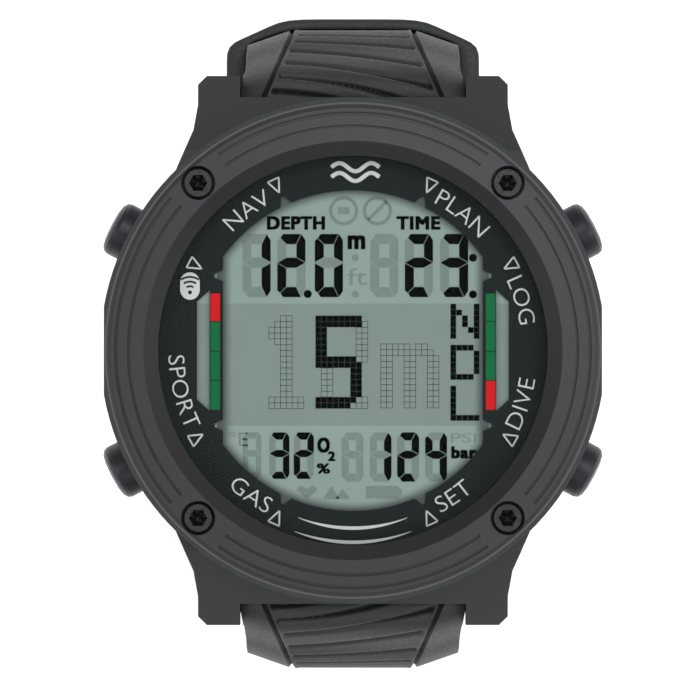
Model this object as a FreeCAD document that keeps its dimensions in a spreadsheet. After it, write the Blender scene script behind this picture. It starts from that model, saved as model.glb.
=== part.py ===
"""Wrist dive computer: a round screwed case with four pushers, and a two-piece rubber strap.

Frame: the origin is the centre of the case back's flat outer face. +Z points out through the
display, +X to 3 o'clock and +Y to 12 o'clock. Millimetres.
"""
import FreeCAD, Part
import math
import os
import re

import Sketcher

os.makedirs("parts", exist_ok=True)
doc = FreeCAD.newDocument("DiveComputer")
sheet = doc.addObject("Spreadsheet::Sheet", "Sizes")

# Every driving size is one named cell of the sheet.
SIZES = [
    # the middle case, a round pot with four lugs
    ("case_wall", 5.3, "wall of the pot, which the pushers run through"),
    ("case_flat_cut", 0.4, "depth of the flats at 3 and 9 o'clock"),
    ("case_flat_high", 12.0, "half length of those flats"),
    ("case_foot", 0.3, "height of the case's lower rim"),
    ("case_edge", 1.5, "bevel round the case's lower edge"),
    ("case_shoulder", 0.5, "bevel under the bezel"),
    ("case_below_seat", 0.9, "bezel's seat below the lens's seat"),
    ("ledge_overlap", 1.95, "width of the ledge under the lens"),
    ("ledge_thick", 1.6, "ledge that carries the dial ring"),
    ("neck_wall", 0.95, "wall of the neck round the lens"),
    ("neck_below", 0.4, "neck below the lens's top"),
    # the lugs
    ("lug_root_over", 6.5, "lug past its slot, where it leaves the round case"),
    ("lug_tip_over", 4.3, "lug past its slot, at its tip"),
    ("lug_root_in", 7.4, "start of the flare, in from the spring bar"),
    ("lug_flare_in", 3.4, "end of the flare, in from the spring bar"),
    ("lug_beyond", 2.2, "lug tip past the spring bar"),
    ("lug_tip_high", 6.8, "height of the lug tip's upper edge"),
    ("lug_tip_low", -1.6, "height of the lug tip's lower edge"),
    ("lug_tip_edge", 1.2, "bevel under the lug tip"),
    ("lug_shoulder_in", 5.5, "top of the lug's slope, in from the spring bar"),
    ("lug_heel_in", 6.5, "foot of the lug's underside, in from the spring bar"),
    # the bezel and its screws
    ("bezel_land", 3.95, "case outside the neck, which the bezel sits on"),
    ("bezel_inset", 0.54, "bezel's edge inside the case's"),
    ("bezel_over", 1.4, "bezel's top above the lens's"),
    ("bezel_lip", 1.05, "bezel over the lens's rim"),
    ("bezel_slope", 1.5, "width of the inner slope"),
    ("bezel_slope_foot", 0.5, "height of the opening's upright wall"),
    ("bezel_edge", 0.6, "bevel on the bezel's outer edges"),
    ("bezel_gap", 0.05, "room between the bezel and the neck"),
    ("bezel_groove_inset", 1.16, "outer engraved line, in from the edge"),
    ("bezel_groove_pitch", 1.3, "from the outer engraved line to the inner"),
    ("bezel_groove_width", 0.34, "width of an engraved line"),
    ("bezel_groove_depth", 0.3, "depth of an engraved line"),
    ("groove_arc_side", 80, "arc of the lines at 3 and 9 o'clock"),
    ("groove_arc_end", 69, "arc of the lines at 12 and 6 o'clock"),
    ("screw_inset", 2.08, "bezel screws, in from the bezel's edge"),
    ("screw_turn", 47.26, "bezel screws, round from 3 and 9 o'clock"),
    ("screw_head_radius", 1.5, "socket head of an M1.6 screw"),
    ("screw_head_height", 1.6, "height of the head"),
    ("screw_seat_gap", 0.25, "room round the head"),
    ("screw_shank_radius", 0.8, "M1.6 thread, drawn plain"),
    ("screw_length", 6.4, "shank under the head"),
    ("screw_sunk", 0.3, "head below the bezel's top"),
    ("socket_half", 0.75, "half width of the hexagon socket, across corners"),
    ("socket_depth", 0.9, "depth of the socket"),
    # the window and display
    ("lens_radius", 20.95, "outside of the lens"),
    ("lens_thick", 2.1, "mineral glass"),
    ("lens_edge", 0.15, "bevel on the lens's rim"),
    ("lens_gap", 0.05, "room round the lens"),
    ("gasket_width", 1.0, "width of the lens gasket"),
    ("gasket_thick", 0.5, "lens gasket"),
    ("dial_thick", 0.3, "printed dial ring"),
    ("dial_band", 4.55, "from the lens's rim to the dial's window"),
    ("window_side_cut", 3.1, "window's straight sides, in from its round part"),
    ("notch_turn", 24.7, "notches in the round part, round from 12 and 6 o'clock"),
    ("notch_side_y", 7.65, "notches in the straight sides, from the centre"),
    ("notch_depth", 0.87, "depth of a notch"),
    ("notch_half", 0.75, "half width of a notch's mouth"),
    ("notch_tip_half", 0.15, "half width of a notch's end"),
    ("bar_window_gap", 1.35, "printed bar graph, between the window and its side window"),
    ("bar_window_width", 1.3, "width of a side window"),
    ("bar_window_half", 6.2, "half length of a side window"),
    ("bar_window_taper", 1.2, "side window's outer corners"),
    ("lcd_thick", 2.1, "two glasses and polarisers"),
    ("lcd_gap", 0.2, "room round the display glass"),
    ("lcd_flat_cut", 1.4, "depth of the display glass's side flats"),
    ("lcd_below", 0.1, "display glass below the dial ring"),
    ("guide_thick", 0.5, "light guide"),
    ("guide_gap", 0.1, "light guide below the display glass"),
    ("guide_inset", 1.0, "light guide's edge inside the display glass's"),
    ("guide_lift", 0.8, "light guide above the circuit board"),
    ("connector_inset", 2.8, "zebra strips, in from the display glass's edge"),
    ("connector_half", 9.0, "half length of a zebra strip"),
    ("connector_width", 1.2, "width of a zebra strip"),
    # electronics
    ("board_gap", 1.0, "room round the circuit board"),
    ("board_thick", 0.8, "circuit board"),
    ("board_lift", 0.6, "circuit board above the cell"),
    ("frame_inset", 2.6, "module frame's edge inside the cavity"),
    ("inner_gap", 0.2, "room between inner parts"),
    ("pocket_half", 5.2, "half width of the pockets at 12 and 6 o'clock"),
    ("buzzer_thick", 1.8, "piezo buzzer under the board"),
    ("leaf_thick", 0.2, "spring contact behind a pusher"),
    ("leaf_gap", 1.05, "pusher's travel to its contact"),
    # battery
    ("battery_radius", 12.25, "CR2450 cell"),
    ("battery_height", 5.0, "CR2450 cell"),
    ("tray_gap", 0.25, "room round the cell"),
    ("tray_wall", 0.9, "wall of the battery tray"),
    ("tray_roof", 0.35, "roof of the battery tray"),
    ("tray_hole_radius", 6.5, "hole in that roof for the contact"),
    # case back
    ("back_rim", 1.6, "case's wall round the case back"),
    ("back_gap", 0.1, "room round the case back"),
    ("back_flat_room", 0.2, "case back's flats, in from the strap's root"),
    ("back_thick", 1.5, "flange thickness"),
    ("plug_top", 2.6, "height of the plug inside the case"),
    ("back_screw_inset", 1.6, "case back screws, in from its edge"),
    ("back_screw_turn", 45, "case back screws, round from 3 and 9 o'clock"),
    ("back_screw_radius", 0.65, "M1.4 thread, drawn plain"),
    ("back_screw_length", 4.2, "shank of a case back screw"),
    ("back_head_radius", 1.15, "head of a case back screw"),
    ("back_head_height", 0.8, "head of a case back screw"),
    ("back_gasket_land", 0.15, "from the cavity to the case back gasket"),
    ("back_gasket_width", 0.9, "case back gasket"),
    ("back_gasket_thick", 0.5, "case back gasket"),
    ("cap_over", 2.95, "battery cap's edge past the cell"),
    ("cap_head_over", 1.6, "cap's head past its thread"),
    ("cap_gap", 0.1, "room round the cap's head"),
    ("cap_head", 1.6, "thickness of the cap's head"),
    ("cap_skirt_wall", 1.1, "wall of the cap's skirt"),
    ("cap_top", 3.4, "height of the cap's skirt"),
    ("cap_floor", 2.4, "height of the cap's inner face"),
    ("cap_ring_wire", 0.43, "sealing ring in the cap's groove"),
    ("boss_over", 0.6, "case back's boss above the cap's skirt"),
    ("key_hole_x", 9.0, "holes for the two-pin key"),
    ("key_hole_radius", 1.1, "holes for the two-pin key"),
    ("key_hole_depth", 0.9, "holes for the two-pin key"),
    ("sensor_bridge", 2.8, "from the battery cap to the pressure port"),
    ("sensor_radius", 2.2, "pressure sensor"),
    ("sensor_height", 3.2, "pressure sensor"),
    ("sensor_room", 0.3, "from the pressure sensor to the case's wall"),
    ("port_radius", 0.9, "hole from the port to the sensor"),
    ("grille_radius", 2.4, "port grille"),
    ("grille_thick", 0.5, "port grille"),
    ("grille_hole_circle", 1.3, "ring of holes in the grille"),
    ("grille_hole_radius", 0.35, "holes in the grille"),
    # pushers
    ("button_angle", 27.5, "pushers above and below 3 and 9 o'clock"),
    ("button_height", 6.4, "height of the pusher axes"),
    ("button_radius", 2.85, "pusher cap"),
    ("button_wall", 0.6, "wall of the cap's hollow"),
    ("button_out", 2.05, "cap's face past the round case"),
    ("button_in", 1.4, "cap's rim inside the round case"),
    ("button_front", 1.85, "thickness of the cap's front"),
    ("button_room", 1.1, "cap's rim above the floor of its bore"),
    ("stem_radius", 0.95, "pusher stem"),
    ("stem_over", 0.7, "stem past its bushing"),
    ("bushing_wall", 0.6, "stem bushing"),
    ("bushing_over", 0.1, "bushing past the cavity's wall"),
    ("running_gap", 0.05, "radial clearance of parts that run in each other"),
    ("clip_over", 0.6, "retaining ring past the stem"),
    ("clip_thick", 0.3, "retaining ring"),
    ("ring_inset", 1.2, "O-ring below the bore's floor"),
    ("ring_wire", 0.21, "half thickness of that O-ring"),
    ("ring_groove_radius", 0.55, "bottom of the stem's grooves"),
    ("wire_radius", 0.15, "return spring wire"),
    ("coil_gap", 0.4, "return spring inside the cap's hollow"),
    ("coil_turns", 3.5, "turns of the return spring"),
    # strap
    ("pin_out", 0.1, "spring bars past the round case"),
    ("pin_z", 3.5, "height of the spring bars"),
    ("pin_radius", 0.75, "spring bar"),
    ("pin_tip_radius", 0.45, "spring bar's sprung tips"),
    ("pin_engage", 1.2, "spring bar's tip in the lug"),
    ("root_over", 0.6, "strap's root past its edges"),
    ("strap_side_gap", 0.1, "room beside the strap's root"),
    ("root_radius", 3.8, "rolled root of the strap round its bar"),
    ("root_gap", 0.3, "room round the root"),
    ("root_wall", 0.2, "least wall from the root's room to the case back gasket"),
    ("strap_half", 10.9, "half width of the strap"),
    ("strap_thick", 3.8, "buckle half, through its thickest line"),
    ("tail_thick", 3.2, "tail half, through its thickest line"),
    ("crest_inset", 4.6, "strap's flat outer face, in from its edges"),
    ("strap_bevel", 1.6, "drop of the bevels to the strap's edges"),
    ("side_out", 5.3, "middle line of the hanging strap, past the spring bar"),
    ("root_bend", 60, "turn of the strap from its root to straight down"),
    ("curl_radius", 36.0, "moulded curl of the buckle half"),
    ("curl_gap", 5.5, "turn of the narrow neck before the buckle's bar"),
    ("bar_turn", 66.0, "where the buckle's bar lies along the curl"),
    ("neck_step", 0.7, "neck narrower than the strap, on each side"),
    ("neck_thick", 3.0, "strap's neck between the buckle's arms"),
    ("tail_drop", 8.0, "straight stretch of the tail half"),
    ("tail_curl_radius", 44.0, "moulded curl of the tail half"),
    ("tail_flat", 6.5, "straight end of the tail half, before its tip"),
    ("tail_tip_long", 9.0, "rounded tip of the tail"),
    ("hole_radius", 1.5, "tongue holes"),
    ("hole_pitch", 6.5, "tongue holes along the strap"),
    ("hole_count", 10, "tongue holes"),
    ("hole_first", 88, "first tongue hole along the curl"),
    # keepers
    ("keeper_side_gap", 0.15, "room between strap and keeper"),
    ("keeper_end_wall", 2.05, "thickness of a keeper's end walls"),
    ("keeper_wall", 1.1, "thickness of a keeper's broad walls"),
    ("keeper_length", 7.0, "free keeper along the strap"),
    ("keeper_fixed_length", 5.0, "fixed keeper along the strap"),
    ("keeper_fixed_gap", 0.02, "room between strap and fixed keeper"),
    ("keeper_room", 3.6, "room for the tail inside a keeper"),
    ("keeper_corner", 2.2, "bevel on a keeper's outer corners"),
    ("keeper_turn", 10.0, "free keeper's place along the curl"),
    ("keeper_fixed_turn", 50.0, "fixed keeper's place along the curl"),
    # buckle
    ("buckle_side_gap", 0.4, "room between the strap's neck and the arms"),
    ("buckle_arm", 2.6, "width of the frame's arms and end bar"),
    ("buckle_corner", 2.0, "bevel on the frame's outer corners"),
    ("buckle_length", 12.8, "from the bar's axis to the frame's far edge"),
    ("buckle_tail", 2.2, "from the bar's axis to the arms' ends"),
    ("buckle_thick", 2.4, "thickness of the frame"),
    ("loop_radius", 2.3, "strap's loop round the buckle bar"),
    ("bar_inset", 0.8, "buckle bar's ends inside the arms"),
    ("tongue_slack", 0.2, "tongue narrower than its holes, on each side"),
    ("tongue_ring", 2.1, "tongue's eye"),
    ("tongue_thick", 1.2, "tongue's blade"),
    ("tongue_over", 0.7, "tongue past the frame's far edge"),
    ("tongue_gap", 0.05, "tongue above the frame's end bar"),
    ("tongue_room", 0.35, "room beside the tongue"),
]
for row, (alias, number, meaning) in enumerate(SIZES, start=1):
    sheet.set(f"A{row}", meaning)
    sheet.set(f"B{row}", str(number))
    sheet.setAlias(f"B{row}", alias)
doc.recompute()

# Sizes that follow from others, so that what fits together stays together.
FOLLOWS = [
    # round the centre, from the battery and the lens outwards
    ("cap_radius", "battery_radius + cap_over"),
    ("cap_thread_radius", "cap_radius - cap_head_over"),
    ("sensor_y", "cap_radius + cap_gap + sensor_bridge"),
    ("neck_radius", "lens_radius + lens_gap + neck_wall"),
    ("case_radius", "max(neck_radius + bezel_land; sensor_y + sensor_radius + sensor_room + case_wall)"),
    ("cavity_radius", "case_radius - case_wall"),
    ("case_flat_half", "case_radius - case_flat_cut"),
    ("ledge_radius", "lens_radius - ledge_overlap"),
    ("bezel_radius", "case_radius - bezel_inset"),
    ("bezel_opening", "lens_radius - bezel_lip"),
    ("bezel_slope_radius", "bezel_opening + bezel_slope"),
    ("bezel_groove_outer", "bezel_radius - bezel_groove_inset"),
    ("bezel_groove_inner", "bezel_groove_outer - bezel_groove_pitch"),
    ("screw_x", "(bezel_radius - screw_inset) * cos(screw_turn)"),
    ("screw_y", "(bezel_radius - screw_inset) * sin(screw_turn)"),
    ("window_radius", "lens_radius - dial_band"),
    ("window_half", "window_radius - window_side_cut"),
    ("lcd_radius", "ledge_radius - lcd_gap"),
    ("lcd_flat_half", "lcd_radius - lcd_flat_cut"),
    ("connector_y", "lcd_radius - connector_inset"),
    ("board_radius", "cavity_radius - board_gap"),
    ("frame_radius", "cavity_radius - frame_inset"),
    ("tray_radius", "battery_radius + tray_gap + tray_wall"),
    ("back_radius", "case_radius - back_rim"),
    ("back_screw_x", "(back_radius - back_screw_inset) * cos(back_screw_turn)"),
    ("back_screw_y", "(back_radius - back_screw_inset) * sin(back_screw_turn)"),
    ("back_gasket_inner", "cavity_radius + back_gasket_land"),
    ("back_gasket_outer", "back_gasket_inner + back_gasket_width + 0.05"),
    ("pin_y", "max(case_radius + pin_out; back_gasket_outer + root_wall + root_gap + root_radius)"),
    ("back_flat_half", "pin_y - root_radius - back_flat_room"),
    # heights, from the battery cap up to the bezel
    ("battery_low", "cap_floor + inner_gap"),
    ("battery_top", "battery_low + battery_height"),
    ("board_low", "battery_top + board_lift"),
    ("board_top", "board_low + board_thick"),
    ("guide_low", "board_top + guide_lift"),
    ("lcd_low", "guide_low + guide_thick + guide_gap"),
    ("lcd_top", "lcd_low + lcd_thick"),
    ("ledge_top", "lcd_top + lcd_below"),
    ("cavity_top", "ledge_top - ledge_thick"),
    ("lens_seat", "ledge_top + gasket_thick"),
    ("lens_top", "lens_seat + lens_thick"),
    ("neck_top", "lens_top - neck_below"),
    ("case_top", "lens_seat - case_below_seat"),
    ("bezel_top", "lens_top + bezel_over"),
    # pushers, from the case's wall in and out
    ("button_face", "case_radius + button_out"),
    ("button_rim", "case_radius - button_in"),
    ("button_roof", "button_face - button_front"),
    ("button_floor", "button_rim - button_room"),
    ("bushing_radius", "stem_radius + running_gap + bushing_wall"),
    ("bushing_end", "cavity_radius - bushing_over"),
    ("stem_end", "bushing_end - stem_over"),
    ("clip_radius", "stem_radius + clip_over"),
    ("ring_place", "button_floor - ring_inset"),
    ("coil_radius", "button_radius - button_wall - coil_gap - wire_radius"),
    # strap, lugs and buckle, from the strap's width
    ("slot_half", "strap_half + root_over + strap_side_gap"),
    ("lug_root_half", "slot_half + lug_root_over"),
    ("lug_tip_half", "slot_half + lug_tip_over"),
    ("lug_root_y", "pin_y - lug_root_in"),
    ("lug_flare_y", "pin_y - lug_flare_in"),
    ("lug_tip_y", "pin_y + lug_beyond"),
    ("lug_shoulder_y", "pin_y - lug_shoulder_in"),
    ("lug_heel_y", "pin_y - lug_heel_in"),
    ("pin_reach", "slot_half + pin_engage"),
    ("strap_crest_half", "strap_half - crest_inset"),
    ("side_y", "pin_y + side_out"),
    ("root_curl", "side_out / (1 - cos(root_bend))"),
    ("side_z", "pin_z - root_curl * sin(root_bend)"),
    ("curl_end", "bar_turn - curl_gap"),
    ("neck_half", "strap_half - neck_step"),
    ("keeper_half", "strap_half + keeper_side_gap + keeper_end_wall"),
    ("buckle_half", "neck_half + buckle_side_gap + buckle_arm"),
    ("bar_reach", "buckle_half - bar_inset"),
    ("tongue_half", "hole_radius - tongue_slack"),
]
follow = doc.addObject("App::VarSet", "Follow")
ALIASES = {alias for alias, _, _ in SIZES}
FOLLOWED = {name for name, _ in FOLLOWS}
kept = []


def cell(name):
    """The number in a named cell of the sheet, or of a size that follows from them."""
    return float(getattr(follow, name) if name in FOLLOWED else sheet.get(name))


def named(expression):
    """Points each size name in an expression at its cell of the sheet or its followed size."""
    def point(match):
        name = match.group()
        if name in FOLLOWED:
            return f"Follow.{name}"
        return f"Sizes.{name}" if name in ALIASES else name
    return re.sub(r"[a-z_]+", point, expression)


def tie(thing, **sizes):
    """Binds properties to expressions; an underscore in a key stands for a dot."""
    for key, expression in sizes.items():
        thing.setExpression(key.replace("__", "."), named(expression))
    return thing


for name, expression in FOLLOWS:
    follow.addProperty("App::PropertyFloat", name, "Follows", expression)
    tie(follow, **{name: expression})
doc.recompute()


def keep(thing, label):
    """Marks an object as a sub-part that is written out under its label."""
    thing.Label = label
    kept.append(thing)
    return thing


def new_body(label, sub_part=True):
    body = doc.addObject("PartDesign::Body", label)
    return keep(body, label) if sub_part else body


def plane(body, role):
    return next(o for o in body.Origin.OriginFeatures if o.Role == role)


def tie_point(sketch, geometry, end, x, y, start):
    """Places one sketch point by its distances from the sketch's origin."""
    for kind, expression, value in (("DistanceX", x, start.x), ("DistanceY", y, start.y)):
        i = sketch.addConstraint(Sketcher.Constraint(kind, -1, 1, geometry, end, value))
        sketch.setExpression(f"Constraints[{i}]", named(expression))


def draw_polygon(sketch, points):
    """A closed outline; it starts on a unit circle, and its ties pull it to its size."""
    count = len(points)
    turns = [2 * math.pi * i / count for i in range(count)]
    starts = [FreeCAD.Vector(math.cos(a), math.sin(a), 0) for a in turns]
    first = sketch.GeometryCount
    for i in range(count):
        sketch.addGeometry(Part.LineSegment(starts[i], starts[(i + 1) % count]), False)
    for i in range(count):
        after = first + (i + 1) % count
        sketch.addConstraint(Sketcher.Constraint("Coincident", first + i, 2, after, 1))
    for i, (x, y) in enumerate(points):
        tie_point(sketch, first + i, 1, x, y, starts[i])


def draw_circle(sketch, x, y, radius):
    start = FreeCAD.Vector(1, 1, 0)
    geometry = sketch.addGeometry(Part.Circle(start, FreeCAD.Vector(0, 0, 1), 1), False)
    tie_point(sketch, geometry, 3, x, y, start)
    i = sketch.addConstraint(Sketcher.Constraint("Radius", geometry, 1))
    sketch.setExpression(f"Constraints[{i}]", named(radius))


def draw(body, role, polygons=(), circles=(), lift=None, axis_height=None):
    """A sketch on one of the body's own origin planes, lifted off it where lift is given.

    axis_height adds a construction line across the sketch at that height, to turn about.
    """
    sketch = body.newObject("Sketcher::SketchObject", "Outline")
    sketch.AttachmentSupport = [(plane(body, role), "")]
    sketch.MapMode = "FlatFace"
    if lift is not None:
        sketch.setExpression("AttachmentOffset.Base.z", named(lift))
    for points in polygons:
        draw_polygon(sketch, points)
    for x, y, radius in circles:
        draw_circle(sketch, x, y, radius)
    if axis_height is not None:
        ends = [FreeCAD.Vector(-2, 3, 0), FreeCAD.Vector(2, 3, 0)]
        line = sketch.addGeometry(Part.LineSegment(*ends), True)
        tie_point(sketch, line, 1, "-strap_half", axis_height, ends[0])
        tie_point(sketch, line, 2, "strap_half", axis_height, ends[1])
    return sketch


def feature(body, kind, sketch, reverse=False, both_ways=False, **sizes):
    made = body.newObject(f"PartDesign::{kind}", kind)
    made.Profile = (sketch, [""])
    made.Reversed = reverse
    if both_ways:
        made.Midplane = True
    return tie(made, **sizes)


def turn(body, kind, sketch, axis, angle="360", reverse=False, both_ways=False):
    """A Revolution or Groove of a sketch about one of its axes."""
    made = feature(body, kind, sketch, reverse, both_ways)
    made.ReferenceAxis = (sketch, [axis])
    return tie(made, Angle=angle)


def spun(label, points, sub_part=True):
    """A round piece: an outline of (radius, height) points turned about Z."""
    body = new_body(label, sub_part)
    turn(body, "Revolution", draw(body, "XZ_Plane", [points]), "V_Axis")
    return body


def ring_points(inner, outer, low, high):
    return [(inner, low), (outer, low), (outer, high), (inner, high)]


def box_points(x_low, x_high, y_low, y_high):
    return [(x_low, y_low), (x_high, y_low), (x_high, y_high), (x_low, y_high)]


def corners(x, y):
    """The four points at (+-x, +-y)."""
    return [(f"{a}({x})", f"{b}({y})") for a in ("", "-") for b in ("", "-")]


def radial(degrees, height):
    """The placement whose Z axis points outwards at an angle round the case, X down."""
    way = FreeCAD.Vector(math.cos(math.radians(degrees)), math.sin(math.radians(degrees)), 0)
    down = FreeCAD.Vector(0, 0, -1)
    turned = FreeCAD.Rotation(down, FreeCAD.Vector(), way, "ZXY")
    return FreeCAD.Placement(FreeCAD.Vector(0, 0, height), turned)


def shifted(place, x=0.0, y=0.0, z=0.0):
    """A placement moved along its own axes."""
    return place.multiply(FreeCAD.Placement(FreeCAD.Vector(x, y, z), FreeCAD.Rotation()))


def group(label, pieces):
    """Like pieces that share one sub-part, as separate solids."""
    compound = doc.addObject("Part::Compound", label)
    compound.Links = pieces
    return keep(compound, label)


def shaped(kind, **sizes):
    """A Part primitive with its sizes bound to the sheet."""
    return tie(doc.addObject(f"Part::{kind}", kind), **sizes)


def cylinder(radius, low, high, x="0", y="0", angle="360"):
    return shaped("Cylinder", Radius=radius, Height=f"({high}) - ({low})", Angle=angle,
                  Placement__Base__x=x, Placement__Base__y=y, Placement__Base__z=low)


def box(x_low, x_high, y_low, y_high, low, high):
    return shaped("Box", Length=f"({x_high}) - ({x_low})", Width=f"({y_high}) - ({y_low})",
                  Height=f"({high}) - ({low})", Placement__Base__x=x_low,
                  Placement__Base__y=y_low, Placement__Base__z=low)


def cut(base, *tools):
    made = doc.addObject("Part::Cut", "Cut")
    made.Base = base
    made.Tool = tools[0] if len(tools) == 1 else fuse(*tools)
    return made


def fuse(*pieces):
    made = doc.addObject("Part::MultiFuse", "Fuse")
    made.Shapes = list(pieces)
    return made


def common(first, second):
    made = doc.addObject("Part::MultiCommon", "Common")
    made.Shapes = [first, second]
    return made


BUTTONS = {
    "upper_right": cell("button_angle"),
    "upper_left": 180 - cell("button_angle"),
    "lower_left": 180 + cell("button_angle"),
    "lower_right": -cell("button_angle"),
}


# ---- middle case: a lug block, the round pot on it, then the cavity, slots and bores ----
def build_case():
    case = new_body("case_body")
    side = [
        ("-lug_tip_y", "lug_tip_high"), ("-lug_shoulder_y", "case_top - 1"),
        ("lug_shoulder_y", "case_top - 1"), ("lug_tip_y", "lug_tip_high"),
        ("lug_tip_y", "lug_tip_low + lug_tip_edge"), ("lug_tip_y - lug_tip_edge", "lug_tip_low"),
        ("lug_heel_y", "case_foot + 0.6"), ("-lug_heel_y", "case_foot + 0.6"),
        ("lug_tip_edge - lug_tip_y", "lug_tip_low"), ("-lug_tip_y", "lug_tip_low + lug_tip_edge"),
    ]
    feature(case, "Pad", draw(case, "YZ_Plane", [side]), both_ways=True,
            Length="2 * lug_root_half")
    flares = []
    for a in ("", "-"):
        for b in ("", "-"):
            flares.append([(f"{a}({x})", f"{b}({y})") for x, y in (
                ("lug_root_half", "lug_root_y"), ("lug_tip_half + 0.45", "lug_flare_y"),
                ("lug_tip_half", "lug_flare_y + 2.6"), ("lug_tip_half", "lug_tip_y - 0.9"),
                ("lug_tip_half - 0.9", "lug_tip_y"), ("lug_tip_half", "lug_tip_y + 2"),
                ("lug_root_half + 2", "lug_tip_y + 2"), ("lug_root_half + 2", "lug_root_y"))])
    feature(case, "Pocket", draw(case, "XY_Plane", flares), both_ways=True, Length="60")
    pot = [
        ("0", "case_foot"), ("case_radius - case_edge", "case_foot"),
        ("case_radius", "case_foot + case_edge"), ("case_radius", "case_top - case_shoulder"),
        ("case_radius - case_shoulder", "case_top"), ("neck_radius", "case_top"),
        ("neck_radius", "neck_top"), ("0", "neck_top"),
    ]
    turn(case, "Revolution", draw(case, "XZ_Plane", [pot]), "V_Axis")
    hollow = [
        ("0", "-5"), ("back_radius + back_gap", "-5"), ("back_radius + back_gap", "back_thick"),
        ("back_gasket_outer", "back_thick"), ("back_gasket_outer", "back_thick + back_gasket_thick"),
        ("back_gasket_inner - 0.05", "back_thick + back_gasket_thick"),
        ("back_gasket_inner - 0.05", "back_thick"), ("cavity_radius", "back_thick"),
        ("cavity_radius", "cavity_top"), ("ledge_radius", "cavity_top"),
        ("ledge_radius", "ledge_top"), ("lens_radius + lens_gap", "ledge_top"),
        ("lens_radius + lens_gap", "neck_top + 1"), ("0", "neck_top + 1"),
    ]
    turn(case, "Groove", draw(case, "XZ_Plane", [hollow]), "V_Axis")
    flats = [box_points(f"{a}case_flat_half", f"{a}(case_flat_half + 3)", "-case_flat_high",
                        "case_flat_high") for a in ("", "-")]
    feature(case, "Pocket", draw(case, "XY_Plane", flats), both_ways=True, Length="60")
    slots = [box_points(f"{a}pin_y", f"{a}(pin_y + 8)", "-9", "20") for a in ("", "-")]
    feature(case, "Pocket", draw(case, "YZ_Plane", slots), both_ways=True,
            Length="2 * slot_half")
    rolls = [(f"{a}pin_y", "pin_z", "root_radius + root_gap") for a in ("", "-")]
    feature(case, "Pocket", draw(case, "YZ_Plane", circles=rolls), both_ways=True,
            Length="2 * slot_half")
    bars = [(f"{a}pin_y", "pin_z", "pin_tip_radius + 0.05") for a in ("", "-")]
    feature(case, "Pocket", draw(case, "YZ_Plane", circles=bars), both_ways=True,
            Length="2 * (pin_reach + 0.1)")
    threads = [(x, y, "screw_shank_radius") for x, y in corners("screw_x", "screw_y")]
    feature(case, "Pocket", draw(case, "XY_Plane", circles=threads, lift="case_top"),
            Length="case_top - bezel_top + screw_sunk + screw_head_height + screw_length + 0.3")
    threads = [(x, y, "back_screw_radius") for x, y in corners("back_screw_x", "back_screw_y")]
    feature(case, "Pocket", draw(case, "XY_Plane", circles=threads), reverse=True,
            Length="back_head_height + back_screw_length + 0.2")
    for degrees in BUTTONS.values():
        for radius, start in (("bushing_radius", cell("cavity_radius") - 2),
                              ("button_radius + running_gap", cell("button_floor"))):
            bore = case.newObject("PartDesign::SubtractiveCylinder", "Bore")
            tie(bore, Radius=radius, Height="12")
            bore.Placement = shifted(radial(degrees, cell("button_height")), z=start)


# ---- bezel: turned ring with engraved lines and four counterbores, and its screws ----
def build_bezel():
    bezel = spun("bezel", [
        ("neck_radius + bezel_gap", "case_top"),
        ("bezel_radius - bezel_edge", "case_top"), ("bezel_radius", "case_top + bezel_edge"),
        ("bezel_radius", "bezel_top - bezel_edge"),
        ("bezel_radius - 0.35 * bezel_edge", "bezel_top - 0.3 * bezel_edge"),
        ("bezel_radius - bezel_edge", "bezel_top"), ("bezel_slope_radius", "bezel_top"),
        ("bezel_opening", "lens_top + bezel_slope_foot"), ("bezel_opening", "lens_top"),
        ("neck_radius + bezel_gap", "lens_top"),
    ])
    for role, arc in (("XZ_Plane", "groove_arc_side"), ("YZ_Plane", "groove_arc_end")):
        for side in ("", "-"):
            lines = [box_points(f"{side}({r} - bezel_groove_width / 2)",
                                f"{side}({r} + bezel_groove_width / 2)",
                                "bezel_top - bezel_groove_depth", "bezel_top + 1")
                     for r in ("bezel_groove_outer", "bezel_groove_inner")]
            turn(bezel, "Groove", draw(bezel, role, lines), "V_Axis", arc, both_ways=True)
    places = corners("screw_x", "screw_y")
    seats = [(x, y, "screw_head_radius + screw_seat_gap") for x, y in places]
    feature(bezel, "Pocket", draw(bezel, "XY_Plane", circles=seats, lift="bezel_top"),
            Length="screw_sunk + screw_head_height")
    holes = [(x, y, "screw_shank_radius + running_gap") for x, y in places]
    feature(bezel, "Pocket", draw(bezel, "XY_Plane", circles=holes, lift="bezel_top"),
            Length="10")
    screws = []
    for x, y in places:
        screw = socket_screw("screw_shank_radius", "screw_length", "screw_head_radius",
                             "screw_head_height", "socket_half", "socket_depth")
        tie(screw, Placement__Base__x=x, Placement__Base__y=y,
            Placement__Base__z="bezel_top - screw_sunk - screw_head_height")
        screws.append(screw)
    group("bezel_screws", screws)


def socket_screw(shank, length, head, height, socket, depth):
    """A socket head screw that stands head up, its seat at height 0."""
    screw = spun("Screw", [
        ("0", f"-({length})"), (f"{shank} - 0.15", f"-({length})"),
        (shank, f"0.2 - ({length})"), (shank, "0"), (head, "0"),
        (head, f"{height} - 0.2"), (f"{head} - 0.2", height), ("0", height),
    ], sub_part=False)
    hexagon = [(f"{socket} * cos({60 * i})", f"{socket} * sin({60 * i})") for i in range(6)]
    feature(screw, "Pocket", draw(screw, "XY_Plane", [hexagon], lift=height), Length=depth)
    return screw


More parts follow.
